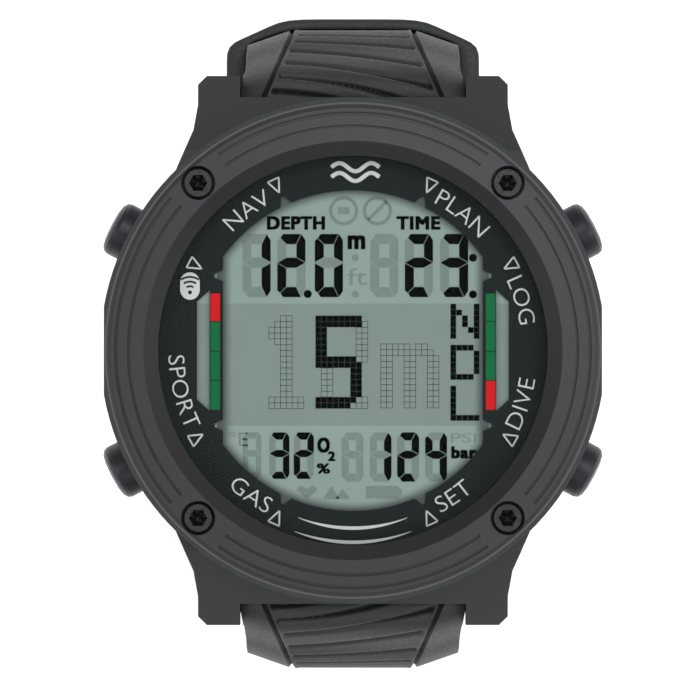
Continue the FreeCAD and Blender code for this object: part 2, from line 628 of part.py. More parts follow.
# ---- window: lens, gasket, dial ring and display ----
def build_window():
    spun("lens", [
        ("0", "lens_seat"), ("lens_radius - lens_edge", "lens_seat"),
        ("lens_radius", "lens_seat + lens_edge"), ("lens_radius", "lens_top - lens_edge"),
        ("lens_radius - lens_edge", "lens_top"), ("0", "lens_top"),
    ])
    spun("lens_gasket", ring_points("lens_radius - gasket_width + lens_gap",
                                    "lens_radius + lens_gap", "ledge_top", "lens_seat"))
    low = "ledge_top - 1"
    high = "ledge_top + 2"
    window = common(cylinder("window_radius", low, high),
                    box("-window_half", "window_half", "-window_radius", "window_radius", low, high))
    openings = new_body("DialOpenings", sub_part=False)
    feature(openings, "Pad", draw(openings, "XY_Plane", dial_openings(), lift=low), Length="3")
    disc = cylinder("lens_radius - gasket_width - lens_gap", "ledge_top", "ledge_top + dial_thick")
    keep(cut(disc, window, openings), "dial_ring")
    keep(common(cylinder("lcd_radius", "lcd_low", "lcd_top"),
                box("-lcd_flat_half", "lcd_flat_half", "-lcd_radius", "lcd_radius", "lcd_low",
                    "lcd_top")), "lcd_glass")
    guide_half = "lcd_flat_half - guide_inset / 2"
    guide_y = "connector_y - connector_width / 2 - inner_gap * 2"
    keep(common(cylinder("lcd_radius - guide_inset", "guide_low", "guide_low + guide_thick"),
                box(f"-({guide_half})", guide_half, f"-({guide_y})", guide_y, "guide_low",
                    "guide_low + guide_thick")), "light_guide")
    strips = [box("-connector_half", "connector_half", f"{a}connector_y - connector_width / 2",
                  f"{a}connector_y + connector_width / 2", "board_top", "lcd_low")
              for a in ("", "-")]
    group("lcd_connectors", strips)


def dial_openings():
    """Outlines of the dial's eight notches and of its two side windows."""
    outlines = []
    mouth = (("-notch_half", "-0.3"), ("notch_half", "-0.3"), ("notch_tip_half", "notch_depth"),
             ("-notch_tip_half", "notch_depth"))
    for a in ("", "-"):
        for b in ("", "-"):
            across = f"{b}sin(notch_turn)"
            outlines.append([(f"(window_radius + {out}) * {across} + ({along}) * cos(notch_turn)",
                              f"{a}((window_radius + {out}) * cos(notch_turn) "
                              f"- ({along}) * {across})") for along, out in mouth])
            outlines.append([(f"{a}(window_half + {out})", f"{b}notch_side_y + {along}")
                             for along, out in mouth])
        near = "window_half + bar_window_gap"
        far = f"{near} + bar_window_width"
        outlines.append([(f"{a}({near})", "-bar_window_half"),
                         (f"{a}({far})", "bar_window_taper - bar_window_half"),
                         (f"{a}({far})", "bar_window_half - bar_window_taper"),
                         (f"{a}({near})", "bar_window_half")])
    return outlines


# ---- electronics, on the board and in the module frame ----
def build_electronics():
    board = new_body("circuit_board")
    holes = [(x, y, "0.7") for x, y in (("11", "14"), ("-11", "14"), ("-11", "-14"), ("11", "-14"))]
    sketch = draw(board, "XY_Plane", circles=[("0", "0", "board_radius")] + holes, lift="board_low")
    feature(board, "Pad", sketch, Length="board_thick")
    chips = {
        "processor_chip": (-3.5, 3.5, -2.5, 4.5, 0.7), "memory_chip": (6, 10, 1, 5, 0.6),
        "radio_module": (-13.5, -7.5, 3, 10, 0.7), "compass_sensor": (6.5, 9, -7, -4.5, 0.6),
        "motion_sensor": (-9.5, -7, -6.5, -4, 0.6), "timing_crystal": (-1.6, 1.6, -8, -6.5, 0.6),
        "voltage_regulator": (11.5, 14, -3, 0, 0.6),
    }
    for label, (x_low, x_high, y_low, y_high, tall) in chips.items():
        keep(box(str(x_low), str(x_high), str(y_low), str(y_high), "board_top", f"board_top + {tall}"),
             label)
    leds = [box(f"{a} - 0.8", f"{a} + 0.8", "-13.9", "-13.2", "board_top", "board_top + 0.7")
            for a in ("-5", "5")]
    group("backlight_leds", leds)
    keep(box("-4", "4", "0.6 - board_radius", "5.6 - board_radius", "board_low - buzzer_thick",
             "board_low"), "piezo_buzzer")
    leaves = []
    for degrees in BUTTONS.values():
        leaf = shaped("Box", Length="3.2", Width="3", Height="leaf_thick")
        leaf.Placement = shifted(radial(degrees, cell("board_low")), y=-1.5,
                                 z=cell("stem_end") - cell("leaf_gap") - cell("leaf_thick"))
        leaves.append(leaf)
    group("button_contacts", leaves)
    frame = cut(cylinder("frame_radius", "cap_top + boss_over + inner_gap", "board_low"),
                cylinder("tray_radius + inner_gap / 2", "0", "20"),
                box("-pocket_half", "pocket_half", "-30", "30", "0", "20"))
    keep(frame, "module_frame")


# ---- battery, its tray and contacts ----
def build_battery():
    spun("battery", [
        ("0", "battery_low"), ("battery_radius - 2.2", "battery_low"),
        ("battery_radius - 2.0", "battery_low + 0.3"), ("battery_radius - 0.3", "battery_low + 0.3"),
        ("battery_radius", "battery_low + 0.6"), ("battery_radius", "battery_top - 0.3"),
        ("battery_radius - 0.3", "battery_top"), ("0", "battery_top"),
    ])
    spun("battery_tray", [
        ("battery_radius + tray_gap", "cap_top + inner_gap"),
        ("tray_radius", "cap_top + inner_gap"), ("tray_radius", "board_low"),
        ("tray_hole_radius", "board_low"), ("tray_hole_radius", "board_low - tray_roof"),
        ("battery_radius + tray_gap", "board_low - tray_roof"),
    ])
    keep(fuse(cylinder("tray_hole_radius - 1", "battery_top", "battery_top + 0.2"),
              cylinder("0.8", "battery_top + 0.1", "board_low")), "battery_contact_minus")
    outer = cylinder("battery_radius + tray_gap", "cap_top + 1", "battery_top - 0.6", angle="40")
    inner = cylinder("battery_radius", "cap_top", "battery_top")
    keep(cut(outer, inner), "battery_contact_plus")


# ---- case back with its gasket, screws, pressure port and battery cap ----
def build_back():
    back = spun("case_back", [
        ("cap_radius + cap_gap", "0"), ("back_radius - 0.4", "0"), ("back_radius", "0.4"),
        ("back_radius", "back_thick"), ("cavity_radius - 0.05", "back_thick"),
        ("cavity_radius - 0.05", "plug_top"), ("cap_radius + 0.5", "plug_top"),
        ("cap_radius + 0.3", "cap_top + boss_over"),
        ("cap_thread_radius + running_gap", "cap_top + boss_over"),
        ("cap_thread_radius + running_gap", "cap_head"), ("cap_radius + cap_gap", "cap_head"),
    ])
    flats = [box_points("-20", "20", f"{a}back_flat_half", f"{a}(back_flat_half + 6)")
             for a in ("", "-")]
    feature(back, "Pocket", draw(back, "XY_Plane", flats), both_ways=True, Length="20")
    places = corners("back_screw_x", "back_screw_y")
    holes = [(x, y, "back_screw_radius + running_gap") for x, y in places]
    feature(back, "Pocket", draw(back, "XY_Plane", circles=holes), reverse=True,
            Length="plug_top + 1")
    seats = [(x, y, "back_head_radius + back_gap") for x, y in places]
    feature(back, "Pocket", draw(back, "XY_Plane", circles=seats), reverse=True,
            Length="back_head_height")
    port = [("0", "sensor_y", "grille_radius + running_gap")]
    feature(back, "Pocket", draw(back, "XY_Plane", circles=port), reverse=True,
            Length="grille_thick")
    feature(back, "Pocket", draw(back, "XY_Plane", circles=[("0", "sensor_y", "port_radius")]),
            reverse=True, Length="plug_top + 1")
    spun("case_back_gasket", ring_points(
        "back_gasket_inner", "back_gasket_inner + back_gasket_width", "back_thick",
        "back_thick + back_gasket_thick"))
    screws = []
    for x, y in places:
        screw = socket_screw("back_screw_radius", "back_screw_length", "back_head_radius",
                             "back_head_height", "0.6", "0.5")
        screw.Placement.Rotation = FreeCAD.Rotation(FreeCAD.Vector(1, 0, 0), 180)
        screws.append(tie(screw, Placement__Base__x=x, Placement__Base__y=y,
                          Placement__Base__z="back_head_height"))
    group("case_back_screws", screws)
    keep(cylinder("sensor_radius", "plug_top", "plug_top + sensor_height", y="sensor_y - 0.1"),
         "pressure_sensor")
    grille = new_body("sensor_port_grille")
    holes = [(f"grille_hole_circle * cos({72 * i})", f"sensor_y + grille_hole_circle * sin({72 * i})",
              "grille_hole_radius") for i in range(5)]
    sketch = draw(grille, "XY_Plane", circles=[("0", "sensor_y", "grille_radius")] + holes)
    feature(grille, "Pad", sketch, Length="grille_thick")
    cap = spun("battery_cap", [
        ("0", "0"), ("cap_radius - 0.3", "0"), ("cap_radius", "0.3"), ("cap_radius", "cap_head"),
        ("cap_thread_radius - 0.95", "cap_head"), ("cap_thread_radius - 0.95", "cap_head + 0.9"),
        ("cap_thread_radius", "cap_head + 0.9"), ("cap_thread_radius", "cap_top"),
        ("cap_thread_radius - cap_skirt_wall", "cap_top"),
        ("cap_thread_radius - cap_skirt_wall", "cap_floor"),
        ("0", "cap_floor"),
    ])
    keys = [(f"{a}key_hole_x", "0", "key_hole_radius") for a in ("", "-")]
    feature(cap, "Pocket", draw(cap, "XY_Plane", circles=keys), reverse=True,
            Length="key_hole_depth")
    ring = shaped("Torus", Radius1="cap_thread_radius - 0.47", Radius2="cap_ring_wire",
                  Placement__Base__z="cap_head + 0.45")
    keep(ring, "battery_cap_ring")


# ---- pushers: cap and stem in one, with O-ring, retaining ring and return spring ----
def build_buttons():
    bushings = []
    for name, degrees in BUTTONS.items():
        place = radial(degrees, cell("button_height"))
        clip_low = "bushing_end - clip_thick - 0.05"
        button = spun(f"button_{name}", [
            ("0", "stem_end"), ("stem_radius", "stem_end"), ("stem_radius", f"{clip_low} - 0.05"),
            ("ring_groove_radius", f"{clip_low} - 0.05"), ("ring_groove_radius", "bushing_end"),
            ("stem_radius", "bushing_end"), ("stem_radius", "ring_place - 0.3"),
            ("ring_groove_radius", "ring_place - 0.3"), ("ring_groove_radius", "ring_place + 0.3"),
            ("stem_radius", "ring_place + 0.3"), ("stem_radius", "button_roof"),
            ("button_radius - button_wall", "button_roof"), ("button_radius - button_wall", "button_rim"),
            ("button_radius", "button_rim"), ("button_radius", "button_face - 0.95"),
            ("button_radius - 0.15", "button_face - 0.55"),
            ("button_radius - 0.55", "button_face - 0.25"),
            ("button_radius - 1.4", "button_face - 0.06"), ("0", "button_face"),
        ])
        clip = spun(f"button_clip_{name}", ring_points(
            "ring_groove_radius", "clip_radius", clip_low, f"{clip_low} + clip_thick"))
        ring = keep(shaped("Torus", Radius1="ring_groove_radius + ring_wire", Radius2="ring_wire"),
                    f"button_ring_{name}")
        spring = keep(doc.addObject("Part::Feature", "Spring"), f"button_spring_{name}")
        spring.Shape = coil_spring()
        for piece in (button, clip):
            piece.Placement = place
        ring.Placement = shifted(place, z=cell("ring_place"))
        spring.Placement = shifted(place, z=cell("button_floor") + cell("wire_radius") + 0.02)
        bushing = spun("Bushing", ring_points("stem_radius + running_gap", "bushing_radius",
                                              "bushing_end", "button_floor"), sub_part=False)
        bushing.Placement = place
        bushings.append(bushing)
    group("button_bushings", bushings)


def coil_spring():
    """A compression spring along Z, as long as the room between floor and roof; eight-sided wire."""
    wire = cell("wire_radius")
    coil = cell("coil_radius")
    tall = cell("button_roof") - cell("button_floor") - 2 * wire - 0.04
    line = Part.makeHelix(tall / cell("coil_turns"), tall, coil)
    turns = [math.radians(45 * i + 22.5) for i in range(9)]
    ring = [FreeCAD.Vector(coil + wire * math.cos(a), 0, wire * math.sin(a)) for a in turns]
    return Part.Wire(line.Edges).makePipeShell([Part.makePolygon(ring)], True, True)


# ---- strap halves: each is a beveled section turned about its bends ----
def spring_bar(label, reach, body_half):
    """A sprung bar along X with two thin tips."""
    bar = new_body(label)
    outline = [(f"-({reach})", "0"), (f"-({reach})", "pin_tip_radius"),
               (f"-({body_half})", "pin_tip_radius"), (f"-({body_half})", "pin_radius"),
               (body_half, "pin_radius"), (body_half, "pin_tip_radius"),
               (reach, "pin_tip_radius"), (reach, "0")]
    turn(bar, "Revolution", draw(bar, "XZ_Plane", [outline]), "H_Axis")
    return bar


def strap_section(body, thick, height, centre):
    """The strap's cross-section at a height, with the line its bend turns about."""
    return draw(body, "XY_Plane", [[
        ("-strap_half", f"side_y - {thick} / 2"), ("strap_half", f"side_y - {thick} / 2"),
        ("strap_half", f"side_y + {thick} / 2 - strap_bevel"),
        ("strap_crest_half", f"side_y + {thick} / 2"),
        ("-strap_crest_half", f"side_y + {thick} / 2"),
        ("-strap_half", f"side_y + {thick} / 2 - strap_bevel"),
    ]], lift=height, axis_height=centre)


def strap_root(body, thick):
    """The rolled root, its bend down to the side of the wrist, and the hole for its bar."""
    section = strap_section(body, thick, "side_z", "side_y - root_curl")
    turn(body, "Revolution", section, "Axis0", "root_bend")
    roll = draw(body, "YZ_Plane", circles=[("pin_y", "pin_z", "root_radius")])
    feature(body, "Pad", roll, both_ways=True, Length="2 * (slot_half - strap_side_gap)")


def bar_bore(body):
    bore = draw(body, "YZ_Plane", circles=[("pin_y", "pin_z", "pin_radius + running_gap")])
    feature(body, "Pocket", bore, both_ways=True, Length="60")


def on_curl(turn_angle):
    """The placement on the buckle half's middle line: Y runs on along it, Z points outwards."""
    angle = math.radians(turn_angle)
    radius = cell("curl_radius")
    middle = FreeCAD.Vector(0, cell("side_y") - radius + radius * math.cos(angle),
                            cell("side_z") - radius * math.sin(angle))
    return FreeCAD.Placement(middle, FreeCAD.Rotation(FreeCAD.Vector(1, 0, 0), 270 - turn_angle))


def build_strap_upper():
    strap = new_body("strap_upper")
    strap_root(strap, "strap_thick")
    section = strap_section(strap, "strap_thick", "side_z", "side_y - curl_radius")
    turn(strap, "Revolution", section, "Axis0", "curl_end", reverse=True)
    narrow = draw(strap, "XY_Plane", [box_points(
        "-neck_half", "neck_half", "side_y - neck_thick / 2", "side_y + neck_thick / 2")],
        lift="side_z", axis_height="side_y - curl_radius")
    turn(strap, "Revolution", narrow, "Axis0", "bar_turn", reverse=True)
    place = on_curl(cell("bar_turn"))
    across = FreeCAD.Rotation(FreeCAD.Vector(0, 1, 0), 90)
    for kind, radius, over in (("Additive", "loop_radius", 0),
                               ("Subtractive", "pin_radius + running_gap", 5)):
        loop = strap.newObject(f"PartDesign::{kind}Cylinder", "Loop")
        tie(loop, Radius=radius, Height=f"2 * (neck_half + {over})")
        loop.Placement = shifted(place, x=-cell("neck_half") - over).multiply(
            FreeCAD.Placement(FreeCAD.Vector(), across))
    slot = strap.newObject("PartDesign::SubtractiveBox", "TongueSlot")
    tie(slot, Length="2 * (tongue_half + tongue_room)", Width="12", Height="12")
    slot.Placement = shifted(place, -cell("tongue_half") - cell("tongue_room"),
                             -cell("tongue_ring") - 0.4, -6)
    bar_bore(strap)
    tie(spring_bar("upper_spring_bar", "pin_reach", "slot_half - 0.3"),
        Placement__Base__y="pin_y", Placement__Base__z="pin_z")


def build_strap_lower():
    strap = new_body("strap_lower")
    strap_root(strap, "tail_thick")
    section = strap_section(strap, "tail_thick", "side_z", "side_y - tail_curl_radius")
    feature(strap, "Pad", section, reverse=True, Length="tail_drop")
    low = "side_z - tail_drop"
    section = strap_section(strap, "tail_thick", low, "side_y - tail_curl_radius")
    turn(strap, "Revolution", section, "Axis0", "90", reverse=True)
    bottom = f"{low} - tail_curl_radius"
    flat = draw(strap, "XZ_Plane", [[
        ("-strap_half", f"{bottom} + tail_thick / 2"), ("strap_half", f"{bottom} + tail_thick / 2"),
        ("strap_half", f"{bottom} - tail_thick / 2 + strap_bevel"),
        ("strap_crest_half", f"{bottom} - tail_thick / 2"),
        ("-strap_crest_half", f"{bottom} - tail_thick / 2"),
        ("-strap_half", f"{bottom} - tail_thick / 2 + strap_bevel"),
    ]], lift="tail_curl_radius - side_y")
    feature(strap, "Pad", flat, Length="tail_flat + tail_tip_long + 1")
    end = "side_y - tail_curl_radius - tail_flat"
    past = f"{end} - tail_tip_long - 3"
    tip = [("-strap_half - 2", end), ("-strap_half", end)]
    for i in range(1, 8):
        tip.append((f"-strap_half * cos({22.5 * i})", f"{end} - tail_tip_long * sin({22.5 * i})"))
    tip += [("strap_half", end), ("strap_half + 2", end), ("strap_half + 2", past),
            ("-strap_half - 2", past)]
    feature(strap, "Pocket", draw(strap, "XY_Plane", [tip], lift=bottom), both_ways=True,
            Length="12")
    centre = FreeCAD.Vector(0, cell("side_y") - cell("tail_curl_radius"),
                            cell("side_z") - cell("tail_drop"))
    for i in range(int(cell("hole_count"))):
        along = math.degrees(i * cell("hole_pitch") / cell("tail_curl_radius"))
        angle = cell("hole_first") - along
        way = FreeCAD.Vector(0, math.cos(math.radians(angle)), -math.sin(math.radians(angle)))
        hole = strap.newObject("PartDesign::SubtractiveCylinder", "TongueHole")
        tie(hole, Radius="hole_radius", Height="10")
        hole.Placement = FreeCAD.Placement(
            centre + way * (cell("tail_curl_radius") - 5),
            FreeCAD.Rotation(FreeCAD.Vector(0, 0, 1), way))
    bar_bore(strap)
    strap.Placement = FreeCAD.Placement(
        FreeCAD.Vector(), FreeCAD.Rotation(FreeCAD.Vector(0, 0, 1), 180))
    tie(spring_bar("lower_spring_bar", "pin_reach", "slot_half - 0.3"),
        Placement__Base__y="-pin_y", Placement__Base__z="pin_z")


def build_keeper(label, turn_angle, length, side_gap):
    """A rubber loop with room for the strap and the tail, its hole along Y."""
    keeper = new_body(label)
    outer_top = "strap_thick / 2 + keeper_side_gap + keeper_wall"
    outer_low = "-strap_thick / 2 - keeper_room - keeper_wall"
    outline = []
    for x, z in (("keeper_half", outer_low), ("keeper_half", outer_top),
                 ("-keeper_half", outer_top), ("-keeper_half", outer_low)):
        way_x = "-" if x == "keeper_half" else "+"
        way_z = "-" if z == outer_top else "+"
        pair = [(f"{x} {way_x} keeper_corner", z), (x, f"{z} {way_z} keeper_corner")]
        outline += pair if (x == "keeper_half") == (z == outer_low) else pair[::-1]
    feature(keeper, "Pad", draw(keeper, "XZ_Plane", [outline]), both_ways=True, Length=length)
    inside = box_points(f"-strap_half - {side_gap}", f"strap_half + {side_gap}",
                        "-strap_thick / 2 - keeper_room", f"strap_thick / 2 + {side_gap}")
    feature(keeper, "Pocket", draw(keeper, "XZ_Plane", [inside]), both_ways=True, Length="60")
    keeper.Placement = on_curl(turn_angle)


def build_buckle():
    place = on_curl(cell("bar_turn"))
    frame = new_body("buckle_frame")
    outline = [
        ("-buckle_half", "-buckle_tail"), ("buckle_arm - buckle_half", "-buckle_tail"),
        ("buckle_arm - buckle_half", "buckle_length - buckle_arm"),
        ("buckle_half - buckle_arm", "buckle_length - buckle_arm"),
        ("buckle_half - buckle_arm", "-buckle_tail"), ("buckle_half", "-buckle_tail"),
        ("buckle_half", "buckle_length - buckle_corner"),
        ("buckle_half - buckle_corner", "buckle_length"),
        ("buckle_corner - buckle_half", "buckle_length"),
        ("-buckle_half", "buckle_length - buckle_corner"),
    ]
    feature(frame, "Pad", draw(frame, "XY_Plane", [outline]), both_ways=True,
            Length="buckle_thick")
    feature(frame, "Pocket", draw(frame, "YZ_Plane", circles=[("0", "0", "pin_tip_radius + 0.05")]),
            both_ways=True, Length="2 * (bar_reach + 0.1)")
    frame.Placement = place
    bar = spring_bar("buckle_bar", "bar_reach", "buckle_half - buckle_arm - 0.1")
    bar.Placement = place
    tongue = new_body("buckle_tongue")
    blade_low = "buckle_thick / 2 + tongue_gap"
    eye = draw(tongue, "YZ_Plane", circles=[("0", "0", "tongue_ring")])
    feature(tongue, "Pad", eye, both_ways=True, Length="2 * tongue_half")
    blade = [("0", "0.9"), ("3", blade_low), ("buckle_length + tongue_over", blade_low),
             ("buckle_length + tongue_over", f"{blade_low} + 0.7 * tongue_thick"),
             ("buckle_length - 1", f"{blade_low} + tongue_thick"),
             ("0.8", f"{blade_low} + tongue_thick - 0.55")]
    feature(tongue, "Pad", draw(tongue, "YZ_Plane", [blade]), both_ways=True,
            Length="2 * tongue_half")
    bore = draw(tongue, "YZ_Plane", circles=[("0", "0", "pin_radius + running_gap")])
    feature(tongue, "Pocket", bore, both_ways=True, Length="20")
    tongue.Placement = place


build_case()
build_bezel()
build_window()
build_electronics()
build_battery()
build_back()
build_buttons()
build_strap_upper()
build_strap_lower()
build_keeper("keeper_free", cell("keeper_turn"), "keeper_length", "keeper_side_gap")
build_keeper("keeper_fixed", cell("keeper_fixed_turn"), "keeper_fixed_length",
             "keeper_fixed_gap")
build_buckle()
doc.recompute()

failed = [o.Label for o in doc.Objects if {"Invalid", "Error"} & set(o.State)]
if failed:
    raise RuntimeError(f"failed objects: {failed}")
for thing in kept:
    if thing.Shape.isNull() or not thing.Shape.isValid() or not thing.Shape.Solids:
        raise RuntimeError(f"bad shape: {thing.Label}")
for thing in kept:
    thing.Shape.exportStep(f"parts/{thing.Label}.step")
    print(f"{thing.Label:28s} solids {len(thing.Shape.Solids)} volume {thing.Shape.Volume:9.1f}")
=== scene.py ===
import math

import bmesh
import bpy
import numpy as np
from mathutils import Matrix, Vector


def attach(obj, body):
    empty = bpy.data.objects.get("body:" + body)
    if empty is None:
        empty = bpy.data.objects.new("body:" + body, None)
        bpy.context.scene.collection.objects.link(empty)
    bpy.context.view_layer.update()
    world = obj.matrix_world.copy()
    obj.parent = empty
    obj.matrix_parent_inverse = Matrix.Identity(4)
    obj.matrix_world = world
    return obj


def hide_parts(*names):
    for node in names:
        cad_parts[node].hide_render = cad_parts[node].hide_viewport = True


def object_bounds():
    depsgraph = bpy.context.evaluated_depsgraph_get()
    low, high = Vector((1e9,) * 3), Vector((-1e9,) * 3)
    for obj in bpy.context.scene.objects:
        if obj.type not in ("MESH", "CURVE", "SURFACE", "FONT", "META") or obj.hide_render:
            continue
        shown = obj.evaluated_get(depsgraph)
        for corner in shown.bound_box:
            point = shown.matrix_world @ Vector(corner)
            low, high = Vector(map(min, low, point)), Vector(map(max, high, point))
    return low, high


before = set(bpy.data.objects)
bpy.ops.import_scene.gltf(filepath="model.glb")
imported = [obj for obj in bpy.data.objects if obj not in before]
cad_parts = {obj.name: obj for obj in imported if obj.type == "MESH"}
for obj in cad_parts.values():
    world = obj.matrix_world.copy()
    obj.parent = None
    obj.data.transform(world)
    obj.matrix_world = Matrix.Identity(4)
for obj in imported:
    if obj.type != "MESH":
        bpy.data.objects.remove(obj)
cad_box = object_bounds()


# ---- Case body ----
# The pot of the instrument, glass-filled nylon from an injection mould whose cavity was
# spark-eroded: an even, fine matt grain with a faint cloudiness where the glass fibres flowed.
mm = 0.001


def hex_colour(code):
    """An sRGB hex colour as the linear one that a socket takes."""
    parts = [int(code[i:i + 2], 16) / 255 for i in (1, 3, 5)]
    return [*(p / 12.92 if p <= 0.04045 else ((p + 0.055) / 1.055) ** 2.4 for p in parts), 1.0]


def add_node(tree, kind, links=None, **settings):
    """One node with its settings; links are sockets to join or plain values to set."""
    node = tree.nodes.new(kind)
    for name, value in settings.items():
        setattr(node, name, value)
    for socket, source in (links or {}).items():
        target = node.inputs[socket]
        if isinstance(source, bpy.types.NodeSocket):
            tree.links.new(source, target)
        else:
            target.default_value = source
    return node


def new_finish(name, **sockets):
    """A material with one Principled shader; plain numbers go on the shader's own sockets."""
    finish = bpy.data.materials.new(name)
    finish.use_nodes = True
    tree = finish.node_tree
    tree.nodes.clear()
    shader = add_node(tree, "ShaderNodeBsdfPrincipled",
                      {key.replace("_", " "): value for key, value in sockets.items()})
    add_node(tree, "ShaderNodeOutputMaterial", {"Surface": shader.outputs[0]})
    return finish, tree, shader


def add_grain(tree, shader, size, low, high, rough, rise, detail=3.0):
    """Noise with grains of one size in mm: two colours, a range of roughness and a rise in mm."""
    place = add_node(tree, "ShaderNodeTexCoord").outputs["Object"]
    noise = add_node(tree, "ShaderNodeTexNoise", {"Vector": place, "Scale": 1 / (size * mm),
                                                  "Detail": detail}).outputs["Fac"]
    spread = add_node(tree, "ShaderNodeMapRange", {"Value": noise, "From Min": 0.3, "From Max": 0.7,
                                                   "To Min": rough[0], "To Max": rough[1]})
    tint = add_node(tree, "ShaderNodeMix", {0: noise, 6: hex_colour(low), 7: hex_colour(high)},
                    data_type="RGBA")
    lift = add_node(tree, "ShaderNodeBump", {"Height": noise, "Distance": rise * mm})
    tree.links.new(tint.outputs[2], shader.inputs["Base Color"])
    tree.links.new(spread.outputs[0], shader.inputs["Roughness"])
    tree.links.new(lift.outputs[0], shader.inputs["Normal"])


def dress(finish, *names):
    """Gives CAD nodes a finish in place of their plain one."""
    for name in names:
        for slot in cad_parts[name].material_slots:
            slot.material = finish


# The grain of the mould is about 0.25 mm across and 0.01 mm high.
case_nylon, case_tree, case_shader = new_finish("glass_filled_nylon_spark_eroded", IOR=1.53)
add_grain(case_tree, case_shader, 0.25, "#15191a", "#1b2021", (0.46, 0.62), 0.012)
dress(case_nylon, "case_body")


# ---- Works inside the case ----
# The display module, its board and the coin cell sit in a moulded frame under the display.
# Each has the finish of its trade: solder mask, moulded epoxy, nickel strip, turned brass.
pushers = ("upper_right", "upper_left", "lower_left", "lower_right")
works = [
    ("fr4_green_solder_mask", "#0d3a20", "#12492a", 0.0, (0.3, 0.42), 0.8, ["circuit_board"]),
    ("moulded_black_epoxy", "#17181a", "#202224", 0.0, (0.5, 0.7), 0.15,
     ["processor_chip", "memory_chip", "radio_module", "compass_sensor", "motion_sensor",
      "voltage_regulator"]),
    ("rolled_nickel_silver_can", "#a9a9a2", "#bdbdb6", 1.0, (0.22, 0.38), 0.3, ["timing_crystal"]),
    ("moulded_grey_polycarbonate", "#2c2e30", "#36383a", 0.0, (0.4, 0.55), 0.3,
     ["module_frame", "battery_tray"]),
    ("clear_moulded_acrylic", "#c9d0cd", "#d5dbd8", 0.0, (0.12, 0.2), 0.6,
     ["light_guide", "backlight_leds"]),
    ("zebra_strip_silicone", "#141414", "#262626", 0.0, (0.5, 0.6), 0.1, ["lcd_connectors"]),
    ("nickel_plated_steel", "#9c9a93", "#b4b2aa", 1.0, (0.2, 0.36), 0.4,
     ["battery", "battery_contact_minus", "battery_contact_plus", "piezo_buzzer",
      "pressure_sensor"]),
    ("hard_drawn_spring_steel", "#85868a", "#9b9ca0", 1.0, (0.25, 0.4), 0.08,
     ["button_contacts", "upper_spring_bar", "lower_spring_bar", "buckle_bar"]
     + [f"button_{part}_{place}" for part in ("clip", "spring") for place in pushers]),
    ("turned_brass", "#8f6f35", "#a6824a", 1.0, (0.25, 0.4), 0.12, ["button_bushings"]),
    ("nitrile_seal_rubber", "#0e0e0f", "#161617", 0.0, (0.45, 0.6), 0.2,
     ["lens_gasket", "case_back_gasket", "battery_cap_ring"]
     + [f"button_ring_{place}" for place in pushers]),
]
for name, low, high, metal, rough, size, nodes in works:
    finish, tree, shader = new_finish(name, Metallic=metal)
    add_grain(tree, shader, size, low, high, rough, 0.004)
    dress(finish, *nodes)


# ---- Display glass ----
# A reflective liquid crystal cell on a grey-green polariser. A wide darker band crosses its
# middle; a soft shade about a millimetre wide along the dial's edge is painted into its colour.
window_radius = 16.4
window_half = 13.3
edge_shade = 1.1
band_top = 4.8
band_foot = -7.69
lcd_face = 12.5



def from_middle(tree):
    """The place on the surface and its distance from the instrument's middle axis."""
    place = add_node(tree, "ShaderNodeTexCoord").outputs["Object"]
    flat = add_node(tree, "ShaderNodeVectorMath", {0: place, 1: (1, 1, 0)},
                    operation="MULTIPLY").outputs[0]
    return place, add_node(tree, "ShaderNodeVectorMath", {0: flat}, operation="LENGTH").outputs[1]


lcd_finish, lcd_tree, lcd_shader = new_finish("reflective_lcd_polariser", Roughness=0.42, IOR=1.5)
lcd_place, lcd_reach = from_middle(lcd_tree)
lcd_axes = add_node(lcd_tree, "ShaderNodeSeparateXYZ", {0: lcd_place}).outputs
lcd_side = add_node(lcd_tree, "ShaderNodeMath", {0: lcd_axes["X"]}, operation="ABSOLUTE").outputs[0]
under_top = add_node(lcd_tree, "ShaderNodeMath", {0: lcd_axes["Y"], 1: band_top * mm},
                     operation="LESS_THAN").outputs[0]
over_foot = add_node(lcd_tree, "ShaderNodeMath", {0: lcd_axes["Y"], 1: band_foot * mm},
                     operation="GREATER_THAN").outputs[0]
in_band = add_node(lcd_tree, "ShaderNodeMath", {0: under_top, 1: over_foot},
                   operation="MULTIPLY").outputs[0]
lcd_cloud = add_node(lcd_tree, "ShaderNodeTexNoise",
                     {"Vector": lcd_place, "Scale": 1 / (6 * mm), "Detail": 2.0}).outputs["Fac"]
open_tone = add_node(lcd_tree, "ShaderNodeMix",
                     {0: lcd_cloud, 6: hex_colour("#879d95"), 7: hex_colour("#92a8a0")},
                     data_type="RGBA").outputs[2]
band_tone = add_node(lcd_tree, "ShaderNodeMix",
                     {0: lcd_cloud, 6: hex_colour("#798c86"), 7: hex_colour("#82958f")},
                     data_type="RGBA").outputs[2]
lcd_tone = add_node(lcd_tree, "ShaderNodeMix", {0: in_band, 6: open_tone, 7: band_tone},
                    data_type="RGBA").outputs[2]
# Painted shade: the colour darkens to #46544f over the last 1.1 mm inside the window's round and
# straight edges.
round_shade = add_node(lcd_tree, "ShaderNodeMapRange", {
    "Value": lcd_reach, "From Min": (window_radius - edge_shade) * mm,
    "From Max": (window_radius + 0.1) * mm}, interpolation_type="SMOOTHSTEP").outputs[0]
side_shade = add_node(lcd_tree, "ShaderNodeMapRange", {
    "Value": lcd_side, "From Min": (window_half - edge_shade) * mm,
    "From Max": (window_half + 0.1) * mm}, interpolation_type="SMOOTHSTEP").outputs[0]
in_window = add_node(lcd_tree, "ShaderNodeMath", {0: lcd_side, 1: (window_half + 0.6) * mm},
                     operation="LESS_THAN").outputs[0]
any_shade = add_node(lcd_tree, "ShaderNodeMath", {0: round_shade, 1: side_shade},
                     operation="MAXIMUM").outputs[0]
painted_edge_shade = add_node(lcd_tree, "ShaderNodeMath", {0: any_shade, 1: in_window},
                     operation="MULTIPLY").outputs[0]
